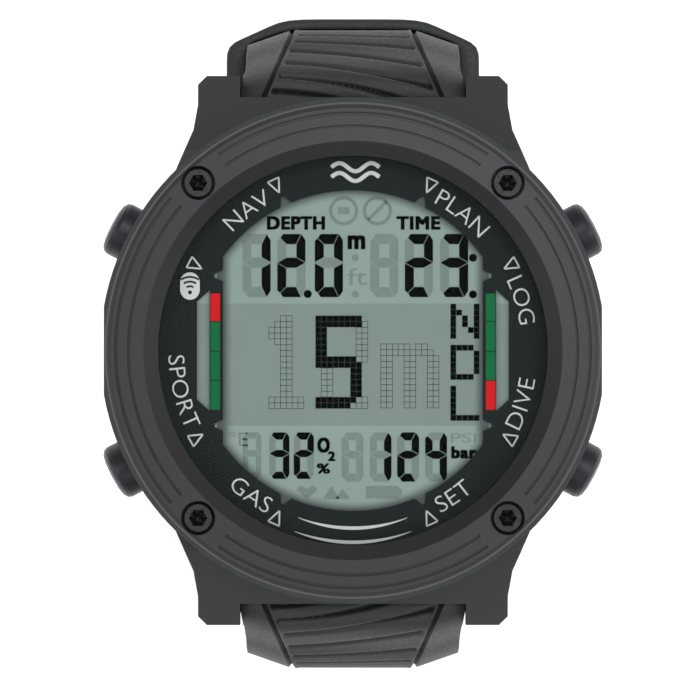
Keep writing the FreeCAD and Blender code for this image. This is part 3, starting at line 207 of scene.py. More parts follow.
lcd_mix = add_node(lcd_tree, "ShaderNodeMix", {0: painted_edge_shade, 6: lcd_tone, 7: hex_colour("#46544f")},
                   data_type="RGBA")
lcd_tree.links.new(lcd_mix.outputs[2], lcd_shader.inputs["Base Color"])
dress(lcd_finish, "lcd_glass")


# ---- Segments of the display ----
# The shapes that the crystal can darken: seven-bar digits, a dot matrix and small words.
# Driven ones are near black; the others show only as a faint tint in the polariser.
segment_ink, segment_tree, segment_shader = new_finish("driven_liquid_crystal", IOR=1.02)
add_grain(segment_tree, segment_shader, 0.6, "#000000", "#020202", (0.5, 0.6), 0.0002)
ghost_ink = new_finish("undriven_liquid_crystal", Roughness=0.5,
                       Base_Color=hex_colour("#26332f"), Alpha=0.06)[0]
print_thick = 0.02
print_lift = 0.004


def show(name, mesh):
    """An object at the origin that shows a mesh."""
    shown = bpy.data.objects.new(name, mesh)
    bpy.context.scene.collection.objects.link(shown)
    return shown


def closed_mesh(name, points, faces):
    """A mesh from points in mm and faces, all turned outwards."""
    mesh = bpy.data.meshes.new(name)
    mesh.from_pydata((np.array(points, float) * mm).tolist(), [], faces)
    tidy = bmesh.new()
    tidy.from_mesh(mesh)
    bmesh.ops.recalc_face_normals(tidy, faces=tidy.faces)
    tidy.to_mesh(mesh)
    tidy.free()
    return mesh


def new_piece(name, points, faces, finish, body):
    """A piece from points in mm and faces, riding on a CAD body."""
    piece = show(name, closed_mesh(name, points, faces))
    piece.data.materials.append(finish)
    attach(piece, body)
    return piece


def inset(outline, gap):
    """A convex outline drawn in by a gap on every side."""
    drawn = []
    count = len(outline)
    middle = Vector(np.mean(outline, axis=0))
    for i in range(count):
        before, here, after = (Vector(outline[(i + k) % count]) for k in (-1, 0, 1))
        one, two = (here - before).normalized(), (after - here).normalized()
        corner = two - one
        turn = abs(one.x * two.y - one.y * two.x)
        if corner.length < 1e-6 or turn < 1e-3:
            corner, turn = (middle - here).normalized(), 1.0
        drawn.append(tuple(here + corner * (gap / turn)))
    return drawn


def add_plates(points, faces, outlines, low, thick):
    """Adds a thin plate for each flat outline to lists of points and faces."""
    for outline in outlines:
        start = len(points)
        count = len(outline)
        points += [(x, y, low) for x, y in outline] + [(x, y, low + thick) for x, y in outline]
        faces.append([start + i for i in range(count)][::-1])
        faces.append([start + count + i for i in range(count)])
        for i in range(count):
            j = (i + 1) % count
            faces.append([start + i, start + j, start + count + j, start + count + i])


def digit_bars(width, height, side, bar):
    """The seven bars of a digit, from its top left corner, with y downwards."""
    cut = 0.45 * side
    far = width - side
    middle = 0.455 * height
    half = bar / 2
    return {
        "a": [(cut * 0.7, cut), (cut * 1.4, 0), (width - cut, 0), (far, bar), (side, bar)],
        "b": [(far, bar), (width - cut, 0), (width, cut * 1.5), (width, middle),
              (far, middle - half)],
        "f": [(side, bar), (cut * 0.7, cut), (0, cut * 1.6), (0, middle), (side, middle - half)],
        "g": [(0, middle), (side, middle - half), (far, middle - half), (width, middle),
              (far, middle + half), (side, middle + half)],
        "e": [(0, middle), (side, middle + half), (side, height - bar),
              (cut * 0.7, height - cut), (0, height - cut * 1.6)],
        "c": [(width, middle), (far, middle + half), (far, height - bar),
              (width - cut, height), (width, height - cut * 1.5)],
        "d": [(cut * 0.7, height - cut), (cut * 1.4, height), (width - cut, height),
              (far, height - bar), (side, height - bar)],
    }


LIT_BARS = {"0": "abcdef", "1": "bc", "2": "abged", "3": "abgcd", "4": "fgbc", " ": ""}
bar_gap = 0.03
lit_shapes = []
ghost_shapes = []


def add_digit(mark, left, top, width, height, side, bar):
    """One digit: its lit bars go to the dark shapes and the others to the faint ones."""
    for name, outline in digit_bars(width, height, side, bar).items():
        shape = inset([(left + x, top - y) for x, y in outline], bar_gap)
        (lit_shapes if name in LIT_BARS[mark] else ghost_shapes).append(shape)


def disc(x, y, radius, count=20):
    """A round dot as an outline."""
    turns = [2 * math.pi * i / count for i in range(count)]
    return [(x + radius * math.cos(a), y + radius * math.sin(a)) for a in turns]


# Depth and clock digits in the top row, tank pressure and gas mix in the bottom one. A size is
# a digit's width and height, then the width of its upright bars and of its level ones.
top_row, foot_row = 11.95, -8.35
depth_size = (2.94, 6.52, 0.98, 1.1)
gas_size = (2.12, 4.82, 0.72, 0.8)
pressure_size = (2.3, 5.1, 0.82, 0.88)
battery_size = (1.95, 4.78, 0.6, 0.7)
for mark, left, top, size in (
        ("1", -11.33, top_row, depth_size), ("2", -7.77, top_row, depth_size),
        ("0", -3.93, top_row, depth_size), (" ", 1.74, top_row, depth_size),
        ("2", 5.28, top_row, depth_size), ("3", 8.88, top_row, depth_size),
        ("3", -8.59, foot_row, gas_size), ("2", -6.09, foot_row, gas_size),
        (" ", -1.2, foot_row, pressure_size), ("1", 1.67, foot_row, pressure_size),
        ("2", 4.5, foot_row, pressure_size), ("4", 7.36, foot_row, pressure_size),
        (" ", -11.3, foot_row, battery_size)):
    add_digit(mark, left, top, *size)
lit_shapes += [disc(-4.62, 5.78, 0.41), disc(12.28, 9.49, 0.41), disc(12.28, 5.74, 0.41)]
ghost_shapes += [disc(0.24, 9.49, 0.37), disc(0.24, 5.74, 0.37)]


def ribbon(line, widths):
    """The outline of a line drawn with a changing width."""
    left, right = [], []
    for i, (x, y) in enumerate(line):
        a, b = line[max(i - 1, 0)], line[min(i + 1, len(line) - 1)]
        run = Vector((b[0] - a[0], b[1] - a[1])).normalized()
        half = widths[i] / 2
        left.append((x - run.y * half, y + run.x * half))
        right.append((x + run.y * half, y - run.x * half))
    return left + right[::-1]


def ring_outlines(x, y, radius, width, start=0, end=360, count=24):
    """Short plates that follow a ring or part of one."""
    turns = [math.radians(start + (end - start) * i / count) for i in range(count + 1)]
    spots = [(x + radius * math.cos(a), y + radius * math.sin(a)) for a in turns]
    return [ribbon(spots[i:i + 2], [width, width]) for i in range(count)]


# Faint symbols at the top and foot: two round signs, a heart, peaks and a battery.
ghost_line = 0.36
for sign_x in (-0.95, 2.5):
    ghost_shapes += ring_outlines(sign_x, 14.3, 1.35, ghost_line)
ghost_shapes.append(ribbon([(1.6, 13.4), (3.4, 15.2)], [ghost_line] * 2))
ghost_shapes.append(ribbon([(-1.55, 14.3), (-0.35, 14.3)], [ghost_line * 2] * 2))
ghost_shapes.append([(-4.7, -15.2), (-5.75, -14.25), (-5.4, -13.8), (-4.7, -14.15), (-4.0, -13.8),
                     (-3.65, -14.25)])
ghost_shapes += [[(-3.05, -15.2), (-2.2, -13.85), (-1.35, -15.2)],
                 [(-1.8, -15.2), (-1.05, -14.1), (-0.3, -15.2)]]
ghost_shapes += [[(1.3, -15.15), (4.7, -15.15), (4.7, -13.85), (1.3, -13.85)],
                 [(4.7, -14.8), (5.05, -14.8), (5.05, -14.2), (4.7, -14.2)]]


def letter_shapes(text, weight, spread=1.0):
    """Lettering of the plain built-in type as points and faces, a solid 1 unit thick."""
    curve = bpy.data.curves.new("lettering", "FONT")
    curve.body = text
    curve.space_character = spread
    curve.offset = weight
    curve.extrude = 0.5
    curve.resolution_u = 4
    holder = bpy.data.objects.new("lettering", curve)
    bpy.context.scene.collection.objects.link(holder)
    bpy.context.view_layer.update()
    view = bpy.context.evaluated_depsgraph_get()
    mesh = bpy.data.meshes.new_from_object(holder.evaluated_get(view))
    points = np.array([v.co for v in mesh.vertices], float)
    faces = [list(p.vertices) for p in mesh.polygons]
    bpy.data.objects.remove(holder)
    bpy.data.meshes.remove(mesh)
    bpy.data.curves.remove(curve)
    return points, faces


bold_spread = 1.12
bold_height = 0.7


def add_word(points, faces, text, left, right, foot, top, low, bold):
    """Adds a word fitted to a box; bold is how far in mm it is stamped again to thicken it."""
    spots, sides = letter_shapes(text, 0.0, bold_spread if bold else 1.0)
    small, large = spots.min(axis=0), spots.max(axis=0)
    share = (spots - small) / (large - small)
    steps = np.linspace(0, 1, 4) if bold else [0]
    for right_by, up_by in [(x, y) for x in steps for y in (0, 0.5, 1) if bold or not y]:
        start = len(points)
        for u, v, w in share:
            points.append((left + u * (right - left - bold) + right_by * bold,
                           foot + v * (top - foot - bold * bold_height)
                           + up_by * bold * bold_height,
                           low + w * print_thick))
        faces += [[start + i for i in side] for side in sides]


word_low = lcd_face + print_lift
lit_points, lit_faces = [], []
add_plates(lit_points, lit_faces, lit_shapes, word_low, print_thick)
for text, left, right, foot, top, bold in (
        ("DEPTH", -8.8, -2.85, 12.36, 13.74, 0.2), ("TIME", 4.45, 8.95, 12.36, 13.74, 0.2),
        ("m", -0.55, 1.27, 10.36, 11.79, 0.24), ("O", -3.65, -2.35, -10.46, -8.9, 0.2),
        ("2", -2.55, -1.8, -11.32, -10.32, 0.14), ("%", -3.7, -2.34, -12.61, -11.54, 0.12),
        ("bar", 10.05, 12.66, -11.06, -9.8, 0.2)):
    add_word(lit_points, lit_faces, text, left, right, foot, top, word_low, bold)
new_piece("display_driven_segments", lit_points, lit_faces, segment_ink, "case")

ghost_points, ghost_faces = [], []
add_plates(ghost_points, ghost_faces, ghost_shapes, word_low, print_thick)
for text, left, right, foot, top in (
        ("ft", -0.55, 1.44, 6.7, 8.45), ("PSI", 10.0, 12.6, -9.42, -8.45),
        ("°E", -12.66, -10.76, -9.79, -8.29)):
    add_word(ghost_points, ghost_faces, text, left, right, foot, top, word_low, 0)
new_piece("display_faint_segments", ghost_points, ghost_faces, ghost_ink, "case")


# ---- Dot matrix of the display ----
# The middle rows are square dots on a 0.6 mm pitch, each its own electrode. One node tree sets
# a square plate on every driven dot, and another draws the gaps round the undriven ones.
def new_tree(name, **sizes):
    """A Geometry Nodes tree with a geometry in and out, named sizes and a finish."""
    tree = bpy.data.node_groups.new(name, "GeometryNodeTree")
    tree.interface.new_socket("Geometry", in_out="INPUT", socket_type="NodeSocketGeometry")
    tree.interface.new_socket("Geometry", in_out="OUTPUT", socket_type="NodeSocketGeometry")
    for size, value in sizes.items():
        socket = tree.interface.new_socket(size, in_out="INPUT", socket_type="NodeSocketFloat")
        socket.default_value = value
    tree.interface.new_socket("Finish", in_out="INPUT", socket_type="NodeSocketMaterial")
    return tree, add_node(tree, "NodeGroupInput").outputs


def end_tree(tree, many, finish):
    """Makes a tree's copies real and gives them their finish."""
    real = add_node(tree, "GeometryNodeRealizeInstances", {"Geometry": many}).outputs[0]
    done = add_node(tree, "GeometryNodeSetMaterial",
                    {"Geometry": real, "Material": finish}).outputs[0]
    add_node(tree, "NodeGroupOutput", {"Geometry": done})


def grow(name, points, tree, finish, body, slot, **sizes):
    """Runs a tree on points in mm and keeps the result as a plain mesh on a body."""
    seed = bpy.data.meshes.new(name + "_seed")
    seed.from_pydata((np.array(points, float) * mm).tolist(), [], [])
    holder = show(name + "_seed", seed)
    runner = holder.modifiers.new("grow", "NODES")
    runner.node_group = tree
    for item in tree.interface.items_tree:
        if item.in_out == "INPUT" and item.name in sizes:
            runner[item.identifier] = sizes[item.name]
        if item.in_out == "INPUT" and item.name == "Finish":
            runner[item.identifier] = finish
    bpy.context.view_layer.update()
    view = bpy.context.evaluated_depsgraph_get()
    mesh = bpy.data.meshes.new_from_object(holder.evaluated_get(view))
    mesh.name = name
    holder.modifiers.remove(runner)
    bpy.data.objects.remove(holder)
    bpy.data.meshes.remove(seed)
    piece = show(name, mesh)
    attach(piece, body)
    return piece


dot_tree, dot_in = new_tree("square_dots", Width=0.5 * mm, Height=0.5 * mm, Thick=print_thick * mm)
dot_size = add_node(dot_tree, "ShaderNodeCombineXYZ",
                    {0: dot_in["Width"], 1: dot_in["Height"], 2: dot_in["Thick"]}).outputs[0]
dot_plate = add_node(dot_tree, "GeometryNodeMeshCube", {"Size": dot_size}).outputs["Mesh"]
dot_many = add_node(dot_tree, "GeometryNodeInstanceOnPoints",
                    {"Points": dot_in["Geometry"], "Instance": dot_plate}).outputs[0]
end_tree(dot_tree, dot_many, dot_in["Finish"])

frame_tree, frame_in = new_tree("square_frames", Width=0.595 * mm, Line=0.07 * mm,
                                Thick=print_thick * mm)
frame_path = add_node(frame_tree, "GeometryNodeCurvePrimitiveQuadrilateral",
                      {"Width": frame_in["Width"], "Height": frame_in["Width"]}).outputs[0]
frame_wire = add_node(frame_tree, "GeometryNodeCurvePrimitiveQuadrilateral",
                      {"Width": frame_in["Line"], "Height": frame_in["Thick"]}).outputs[0]
frame_body = add_node(frame_tree, "GeometryNodeCurveToMesh",
                      {"Curve": frame_path, "Profile Curve": frame_wire}).outputs[0]
frame_many = add_node(frame_tree, "GeometryNodeInstanceOnPoints",
                      {"Points": frame_in["Geometry"], "Instance": frame_body}).outputs[0]
end_tree(frame_tree, frame_many, frame_in["Finish"])
cell_ink = new_finish("electrode_gaps_of_the_matrix", Roughness=0.5, IOR=1.05,
                      Base_Color=hex_colour("#1d2725"), Alpha=0.42)[0]

dot_pitch = 0.595
stack_pitch = 0.597
dot_mid = lcd_face + print_lift + print_thick / 2
matrix_top = 3.57


def dot_spots(rows, left, top, pitch):
    """Centres of the dots that are marked 1 in rows of a matrix."""
    return [(left + (i + 0.5) * pitch, top - (j + 0.5) * pitch, dot_mid)
            for j, row in enumerate(rows) for i, mark in enumerate(row) if mark == "1"]


FIVE = ["11111111"] * 2 + ["11000000"] * 5 + ["11111110", "11111111"] + ["00000011"] * 5 \
    + ["11111110", "11111100"]
ONE = ["001100", "011100", "111100", "111100", "011100"] + ["001100"] * 9 + ["111111"] * 2
TWO = ["01111110", "11111111"] + ["00000011"] * 5 + ["01111111", "11111110"] + ["11000000"] * 5 \
    + ["11111111"] * 2
METRES = ["1111101100", "1111111110"] + ["1100110011"] * 9
digit_left = -3.84
digit_dots = dot_spots(FIVE, digit_left, matrix_top, dot_pitch)
grow("display_matrix_digit", digit_dots, dot_tree, segment_ink, "case", "display_glass",
     Width=0.58 * mm, Height=0.58 * mm, Thick=print_thick * mm)
faint_dots = dot_spots(ONE, -8.6, matrix_top, dot_pitch)
faint_dots += [spot for spot in dot_spots(TWO, digit_left + dot_pitch, matrix_top, dot_pitch)
               if all(abs(spot[0] - x) + abs(spot[1] - y) > 0.1 for x, y, _ in digit_dots)]
faint_dots += dot_spots(METRES, 2.85, 0.67, dot_pitch)
grow("display_matrix_cells", faint_dots, frame_tree, cell_ink, "case", "display_glass",
     Width=dot_pitch * mm, Line=0.06 * mm, Thick=print_thick * mm)
STACK = {
    "N": ["10001", "11001", "10101", "10101", "10011", "10001"],
    "D": ["11110", "10001", "10001", "10001", "10001", "11110"],
    "L": ["10000", "10000", "10000", "10000", "10000", "11111"],
}
stack_spots = []
for rows, top in zip(STACK.values(), (4.78, 0.58, -3.61)):
    stack_spots += dot_spots(rows, 9.97, top, stack_pitch)
grow("display_matrix_letters", stack_spots, dot_tree, segment_ink, "case", "display_glass",
     Width=0.57 * mm, Height=0.58 * mm, Thick=print_thick * mm)


# ---- Dial ring with its print ----
# A thin polycarbonate mask over the display, screen printed: a fine matt blue-black ground,
# and on it white legends, triangles that point at the notches, and two colour gauges.
dial_face = 12.9
legend_low = dial_face + print_lift
mask_ink, mask_tree, mask_shader = new_finish("screen_printed_matt_mask", IOR=1.2)
add_grain(mask_tree, mask_shader, 0.12, "#151c1c", "#1a2222", (0.5, 0.62), 0.002)
dress(mask_ink, "dial_ring")
white_ink, white_tree, white_shader = new_finish("screen_printed_white", IOR=1.3)
add_grain(white_tree, white_shader, 0.1, "#d9dcdb", "#e6e8e7", (0.45, 0.55), 0.001)

legend_reach = 18.08
legend_tall = 1.66
legend_spread = 1.06
LEGENDS = [("NAV", -37.0, 1), ("PLAN", 38.5, 1), ("LOG", 73.5, 1), ("SPORT", -103.6, -1),
           ("GAS", -144.8, -1), ("SET", 145.4, -1), ("DIVE", 107.4, -1)]
legend_points, legend_faces = [], []
for text, degrees, up in LEGENDS:
    spots, sides = letter_shapes(text, -0.012)
    small, large = spots.min(axis=0), spots.max(axis=0)
    scale = legend_tall / (large[1] - small[1])
    start = len(legend_points)
    for u, v, w in (spots - (small + large) / 2):
        reach = legend_reach + up * v * scale
        turn = math.radians(degrees) + up * u * scale * legend_spread / legend_reach
        legend_points.append((reach * math.sin(turn), reach * math.cos(turn),
                              legend_low + (w + 0.5) * print_thick))
    legend_faces += [[start + i for i in side] for side in sides]
new_piece("dial_legends", legend_points, legend_faces, white_ink, "case")

# Triangles: three thin strokes each, the point towards its notch.
mark_shapes = []
triangle_base = 1.25
triangle_tall = 1.45
stroke = 0.17
for x, y in ((-7.85, 16.8), (7.85, 16.8), (-16.1, 8.7), (16.1, 8.7), (-15.97, -8.93),
             (15.97, -8.93), (-7.81, -17.05), (7.81, -17.05)):
    point = Vector((-x, -y)).normalized()
    side = Vector((-point.y, point.x))
    middle = Vector((x, y))
    corners = [middle + point * triangle_tall / 2,
               middle - point * triangle_tall / 2 + side * triangle_base / 2,
               middle - point * triangle_tall / 2 - side * triangle_base / 2]
    for i in range(3):
        mark_shapes.append(ribbon([tuple(corners[i]), tuple(corners[(i + 1) % 3])], [stroke] * 2))

# Two tapering arcs at 6 o'clock and a double wave at 12 o'clock.
for reach, half_turn in ((15.05, 21.7), (16.5, 21.2)):
    turns = [math.radians(-90 + half_turn * (i / 12 - 1)) for i in range(25)]
    line = [(reach * math.cos(a), -3.12 + reach * math.sin(a)) for a in turns]
    widths = [0.05 + 0.3 * math.sin(math.pi * i / 24) for i in range(25)]
    for i in range(24):
        mark_shapes.append(ribbon(line[i:i + 2], widths[i:i + 2]))
wave_left, wave_long, wave_width = -2.2, 4.9, 0.42
for height in (18.75, 17.75):
    line = [(wave_left + wave_long * i / 32,
             height + wave_width * math.sin(2 * math.pi * 1.5 * i / 32)) for i in range(33)]
    for i in range(32):
        mark_shapes.append(ribbon(line[i:i + 2], [wave_width] * 2))

# A white pill at the left for the radio link, with dark arcs that spread from a dot.
pill_x, pill_low, pill_top, pill_half = -16.67, 5.19, 8.0, 1.0
pill = [(pill_x + pill_half * math.cos(a), pill_top - pill_half + pill_half * math.sin(a))
        for a in [math.pi * i / 12 for i in range(13)]]
pill += [(pill_x + pill_half * math.cos(a), pill_low + pill_half + pill_half * math.sin(a))
         for a in [math.pi + math.pi * i / 12 for i in range(13)]]
mark_shapes.append(pill)
mark_points, mark_faces = [], []
add_plates(mark_points, mark_faces, mark_shapes, legend_low, print_thick)
new_piece("dial_marks", mark_points, mark_faces, white_ink, "case")
link_y, link_line = 5.95, 0.2
arc_shapes = [disc(pill_x, link_y, link_line)]
for reach in (0.62, 1.1, 1.58):
    arc_shapes += ring_outlines(pill_x, link_y, reach, link_line, 55, 125, 8)
arc_points, arc_faces = [], []
add_plates(arc_points, arc_faces, arc_shapes, legend_low + print_thick, print_thick)
new_piece("dial_link_arcs", arc_points, arc_faces, mask_ink, "case")

# The gauges: four blocks a side, red at one end and green for the rest.
red_ink, red_tree, red_shader = new_finish("screen_printed_red", IOR=1.2)
add_grain(red_tree, red_shader, 0.1, "#d60c14", "#e0121a", (0.45, 0.55), 0.001)
green_ink, green_tree, green_shader = new_finish("screen_printed_green", IOR=1.2)
add_grain(green_tree, green_shader, 0.1, "#006a38", "#007540", (0.45, 0.55), 0.001)
blocks = [(5.82, 3.01), (2.91, -0.05), (-0.15, -3.01), (-3.11, -6.07)]
gauges = {"dial_gauge_red": [], "dial_gauge_green": []}
for left, right, red in ((-14.57, -13.6, 0), (13.6, 14.56, 3)):
    for i, (top, foot) in enumerate(blocks):
        gauges["dial_gauge_red" if i == red else "dial_gauge_green"].append(
            [(left, foot), (right, foot), (right, top), (left, top)])
for name, shapes in gauges.items():
    points, faces = [], []
    add_plates(points, faces, shapes, legend_low, print_thick)
    ink = red_ink if name.endswith("red") else green_ink
    new_piece(name, points, faces, ink, "case")


# ---- Lens ----
# Flat mineral glass, ground and polished, sealed under the bezel's lip. It shows almost only
# its edge and a faint grey veil over the dial.
lens_glass = new_finish("polished_mineral_glass", Base_Color=hex_colour("#10191b"),
                        Roughness=0.03, IOR=1.52, Alpha=0.1)[0]
dress(lens_glass, "lens")


# ---- Bezel and its screws ----
# Stainless steel, turned, then coated dark grey. The tool's fine rings are still there under
# the coating, and the inner slope is darker. Four black socket screws hold it down.
slope_radius = 21.4
rim_radius = 24.9
bezel_coat, bezel_tree, bezel_shader = new_finish("pvd_coated_turned_steel", Metallic=0.55)
bezel_place, bezel_reach = from_middle(bezel_tree)
turned = add_node(bezel_tree, "ShaderNodeTexNoise", {"W": bezel_reach, "Scale": 1 / (0.14 * mm),
                                                     "Detail": 2.0},
                  noise_dimensions="1D").outputs[0]
bezel_cloud = add_node(bezel_tree, "ShaderNodeTexNoise",
                       {"Vector": bezel_place, "Scale": 1 / (0.2 * mm), "Detail": 3.0}).outputs[0]
bezel_tone = add_node(bezel_tree, "ShaderNodeMix",
                      {0: bezel_cloud, 6: hex_colour("#2c2b2d"), 7: hex_colour("#353436")},
                      data_type="RGBA").outputs[2]
on_slope = add_node(bezel_tree, "ShaderNodeMapRange", {
    "Value": bezel_reach, "From Min": (slope_radius - 0.05) * mm,
    "From Max": (slope_radius + 0.05) * mm, "To Min": 1.0, "To Max": 0.0}).outputs[0]
bezel_colour = add_node(bezel_tree, "ShaderNodeMix",
                        {0: on_slope, 6: bezel_tone, 7: hex_colour("#1f1d21")},
                        data_type="RGBA").outputs[2]
bezel_rough = add_node(bezel_tree, "ShaderNodeMapRange",
                       {"Value": turned, "From Min": 0.3, "From Max": 0.7, "To Min": 0.42,
                        "To Max": 0.52}).outputs[0]
# The top is turned slightly conical, falling outwards as far as the rounded rim.
cone_reach = add_node(bezel_tree, "ShaderNodeMath", {0: bezel_reach, 1: rim_radius * mm},
                      operation="MINIMUM").outputs[0]
bezel_cone = add_node(bezel_tree, "ShaderNodeBump",
                      {"Height": cone_reach, "Distance": -0.12}).outputs[0]
bezel_rings = add_node(bezel_tree, "ShaderNodeBump", {"Height": turned, "Distance": 0.003 * mm,
                                                      "Normal": bezel_cone}).outputs[0]
bezel_bump = add_node(bezel_tree, "ShaderNodeBump", {"Height": bezel_cloud, "Distance": 0.004 * mm,
                                                     "Normal": bezel_rings}).outputs[0]
bezel_tree.links.new(bezel_colour, bezel_shader.inputs["Base Color"])
bezel_tree.links.new(bezel_rough, bezel_shader.inputs["Roughness"])
bezel_tree.links.new(bezel_bump, bezel_shader.inputs["Normal"])
dress(bezel_coat, "bezel")

screw_black, screw_tree, screw_shader = new_finish("black_oxide_steel_polished", Metallic=0.2,
                                                   Coat_Weight=0.6, Coat_Roughness=0.12)
add_grain(screw_tree, screw_shader, 0.3, "#060607", "#0c0c0d", (0.18, 0.3), 0.002)
dress(screw_black, "case_back_screws")

# One screw as rings of points from the shank's end up over the head and down into the hexagon
# socket, whose floor is the drill's cone. The last value is 1 where a ring is a hexagon. A node
# tree sets the screw in the bezel's four seats.
screw_x, screw_y, screw_ring, screw_crease = 15.8, 17.1, 48, 28
screw_profile = [(0.65, 8.3, 0), (0.8, 8.5, 0), (0.8, 14.7, 0), (1.5, 14.7, 0), (1.5, 16.15, 0),
                 (1.47, 16.24, 0), (1.4, 16.3, 0), (1.37, 16.3, 0), (1.0, 16.3, 1),
                 (0.94, 16.3, 1), (0.87, 16.22, 1), (0.85, 16.15, 1), (0.82, 15.35, 1),
                 (0.62, 15.2, 0), (0.05, 14.75, 0)]
screw_points, screw_faces = [], []
for radius, height, hexagonal in screw_profile:
    for step in range(screw_ring):
        turn = 2 * math.pi * step / screw_ring
        flat = math.cos(math.pi / 6) / math.cos(turn % (math.pi / 3) - math.pi / 6)
        reach = radius * (flat if hexagonal else 1)
        screw_points.append((reach * math.cos(turn), reach * math.sin(turn), height))
for ring in range(len(screw_profile) - 1):
    for step in range(screw_ring):
        low, turned_on = ring * screw_ring, (step + 1) % screw_ring
        screw_faces.append((low + step, low + turned_on, low + screw_ring + turned_on,
                            low + screw_ring + step))
last = len(screw_points) - screw_ring
screw_faces.append(tuple(range(last, last + screw_ring)))
screw_faces.append(tuple(range(screw_ring - 1, -1, -1)))
one_screw = show("one_screw", closed_mesh("one_screw", screw_points, screw_faces))
one_screw.data.shade_smooth()
one_screw.data.set_sharp_from_angle(angle=math.radians(screw_crease))
seat_tree, seat_in = new_tree("socket_screws_in_seats")
seat_screw = add_node(seat_tree, "GeometryNodeObjectInfo", {"Object": one_screw})
seat_many = add_node(seat_tree, "GeometryNodeInstanceOnPoints",
                     {"Points": seat_in["Geometry"],
                      "Instance": seat_screw.outputs["Geometry"]}).outputs[0]
end_tree(seat_tree, seat_many, seat_in["Finish"])
screws = grow("bezel_socket_screws", [(screw_x, screw_y, 0), (-screw_x, screw_y, 0),
                                      (-screw_x, -screw_y, 0), (screw_x, -screw_y, 0)],
              seat_tree, screw_black, "case", "screw_steel")
bpy.data.objects.remove(one_screw)
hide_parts("bezel_screws")


# ---- Pushers ----
# Four round pushers in the case's wall, turned steel with a satin dark coat. The coat's fine
# grain softens the light on their fronts.
pusher_coat, pusher_tree, pusher_shader = new_finish("satin_coated_turned_steel", Metallic=0.5)
add_grain(pusher_tree, pusher_shader, 0.18, "#1d2024", "#262a2f", (0.34, 0.46), 0.004)
dress(pusher_coat, *(f"button_{place}" for place in pushers))


# ---- Case back, port grille and battery cap ----
# The back is stainless steel, faced on a lathe so that its rings catch the light. The cap
# over the coin cell is the case's own nylon, with a ring of moulded grip ribs.
back_steel, back_tree, back_shader = new_finish("faced_stainless_steel", Metallic=1.0)
back_reach = from_middle(back_tree)[1]
back_rings = add_node(back_tree, "ShaderNodeTexNoise", {"W": back_reach, "Scale": 1 / (0.1 * mm),
                                                        "Detail": 2.0},
                      noise_dimensions="1D").outputs[0]
back_tone = add_node(back_tree, "ShaderNodeMix",
                     {0: back_rings, 6: hex_colour("#8b8c8d"), 7: hex_colour("#a5a6a6")},
                     data_type="RGBA").outputs[2]
back_rough = add_node(back_tree, "ShaderNodeMapRange",
                      {"Value": back_rings, "To Min": 0.22, "To Max": 0.42}).outputs[0]
back_lift = add_node(back_tree, "ShaderNodeBump",
                     {"Height": back_rings, "Distance": 0.004 * mm}).outputs[0]
back_tree.links.new(back_tone, back_shader.inputs["Base Color"])
back_tree.links.new(back_rough, back_shader.inputs["Roughness"])
back_tree.links.new(back_lift, back_shader.inputs["Normal"])
dress(back_steel, "case_back", "sensor_port_grille")
dress(case_nylon, "battery_cap")

rib_tree, rib_in = new_tree("grip_ribs", Count=36.0, Reach=11.4 * mm, Length=1.6 * mm,
                            Width=0.45 * mm, Rise=0.12 * mm)
rib_circle = add_node(rib_tree, "GeometryNodeMeshCircle",
                      {"Vertices": rib_in["Count"], "Radius": rib_in["Reach"]}).outputs[0]
rib_size = add_node(rib_tree, "ShaderNodeCombineXYZ",
                    {0: rib_in["Length"], 1: rib_in["Width"], 2: rib_in["Rise"]}).outputs[0]
rib_bar = add_node(rib_tree, "GeometryNodeMeshCube", {"Size": rib_size}).outputs["Mesh"]
rib_spot = add_node(rib_tree, "GeometryNodeInputPosition").outputs[0]
rib_turn = add_node(rib_tree, "FunctionNodeAlignRotationToVector", {"Vector": rib_spot},
                    axis="X").outputs[0]
rib_many = add_node(rib_tree, "GeometryNodeInstanceOnPoints",
                    {"Points": rib_circle, "Instance": rib_bar, "Rotation": rib_turn}).outputs[0]
end_tree(rib_tree, rib_many, rib_in["Finish"])
grow("cap_grip_ribs", [(0, 0, 0)], rib_tree, case_nylon, "battery_cap", "case_polymer",
     Count=36.0, Reach=11.4 * mm, Length=1.6 * mm, Width=0.45 * mm, Rise=0.12 * mm)


# ---- Strap halves ----
# Moulded fluoro-rubber, matt from a blasted mould. Between two long grooves each half has a
# panel of sweeping ribs; its flanks slope down to thin edges. The tail has ten holes.
strap_rubber, strap_tree, strap_shader = new_finish("moulded_fluoro_rubber", IOR=1.5)
add_grain(strap_tree, strap_shader, 0.3, "#141618", "#1a1c1f", (0.5, 0.66), 0.01)
pin_y, pin_z = 26.0, 3.5
root_radius = 3.8
root_start, root_top, root_under = 200, 75, 305
bend_radius = 10.6
bend_y, bend_z = 20.7, -5.68
bend_start = 30
slope = 0.35
groove_depth = 0.5
groove_half = 0.3
rib_depth = 0.5
rib_half = 0.27
rib_step = 0.22
row_fine, row_coarse, fine_length = 0.15, 0.7, 9.0
tip_length = 9.0


def smooth(value, low, high):
    """0 below low, 1 above high and a smooth step between."""
    t = np.clip((value - low) / (high - low), 0, 1)
    return t * t * (3 - 2 * t)


def resample(line, spots):
    """Points along a line of y, z at given shares of its length."""
    line = np.array(line)
    steps = np.hypot(*np.diff(line, axis=0).T)
    along = np.concatenate([[0], np.cumsum(steps)])
    return np.stack([np.interp(np.array(spots) * along[-1], along, line[:, k]) for k in (0, 1)], 1)


def arc(y, z, radius, start, end, count):
    """Points of an arc in the y, z plane, angles from +y."""
    turns = np.radians(np.linspace(start, end, count))
    return [(y + radius * math.cos(a), z + radius * math.sin(a)) for a in turns]


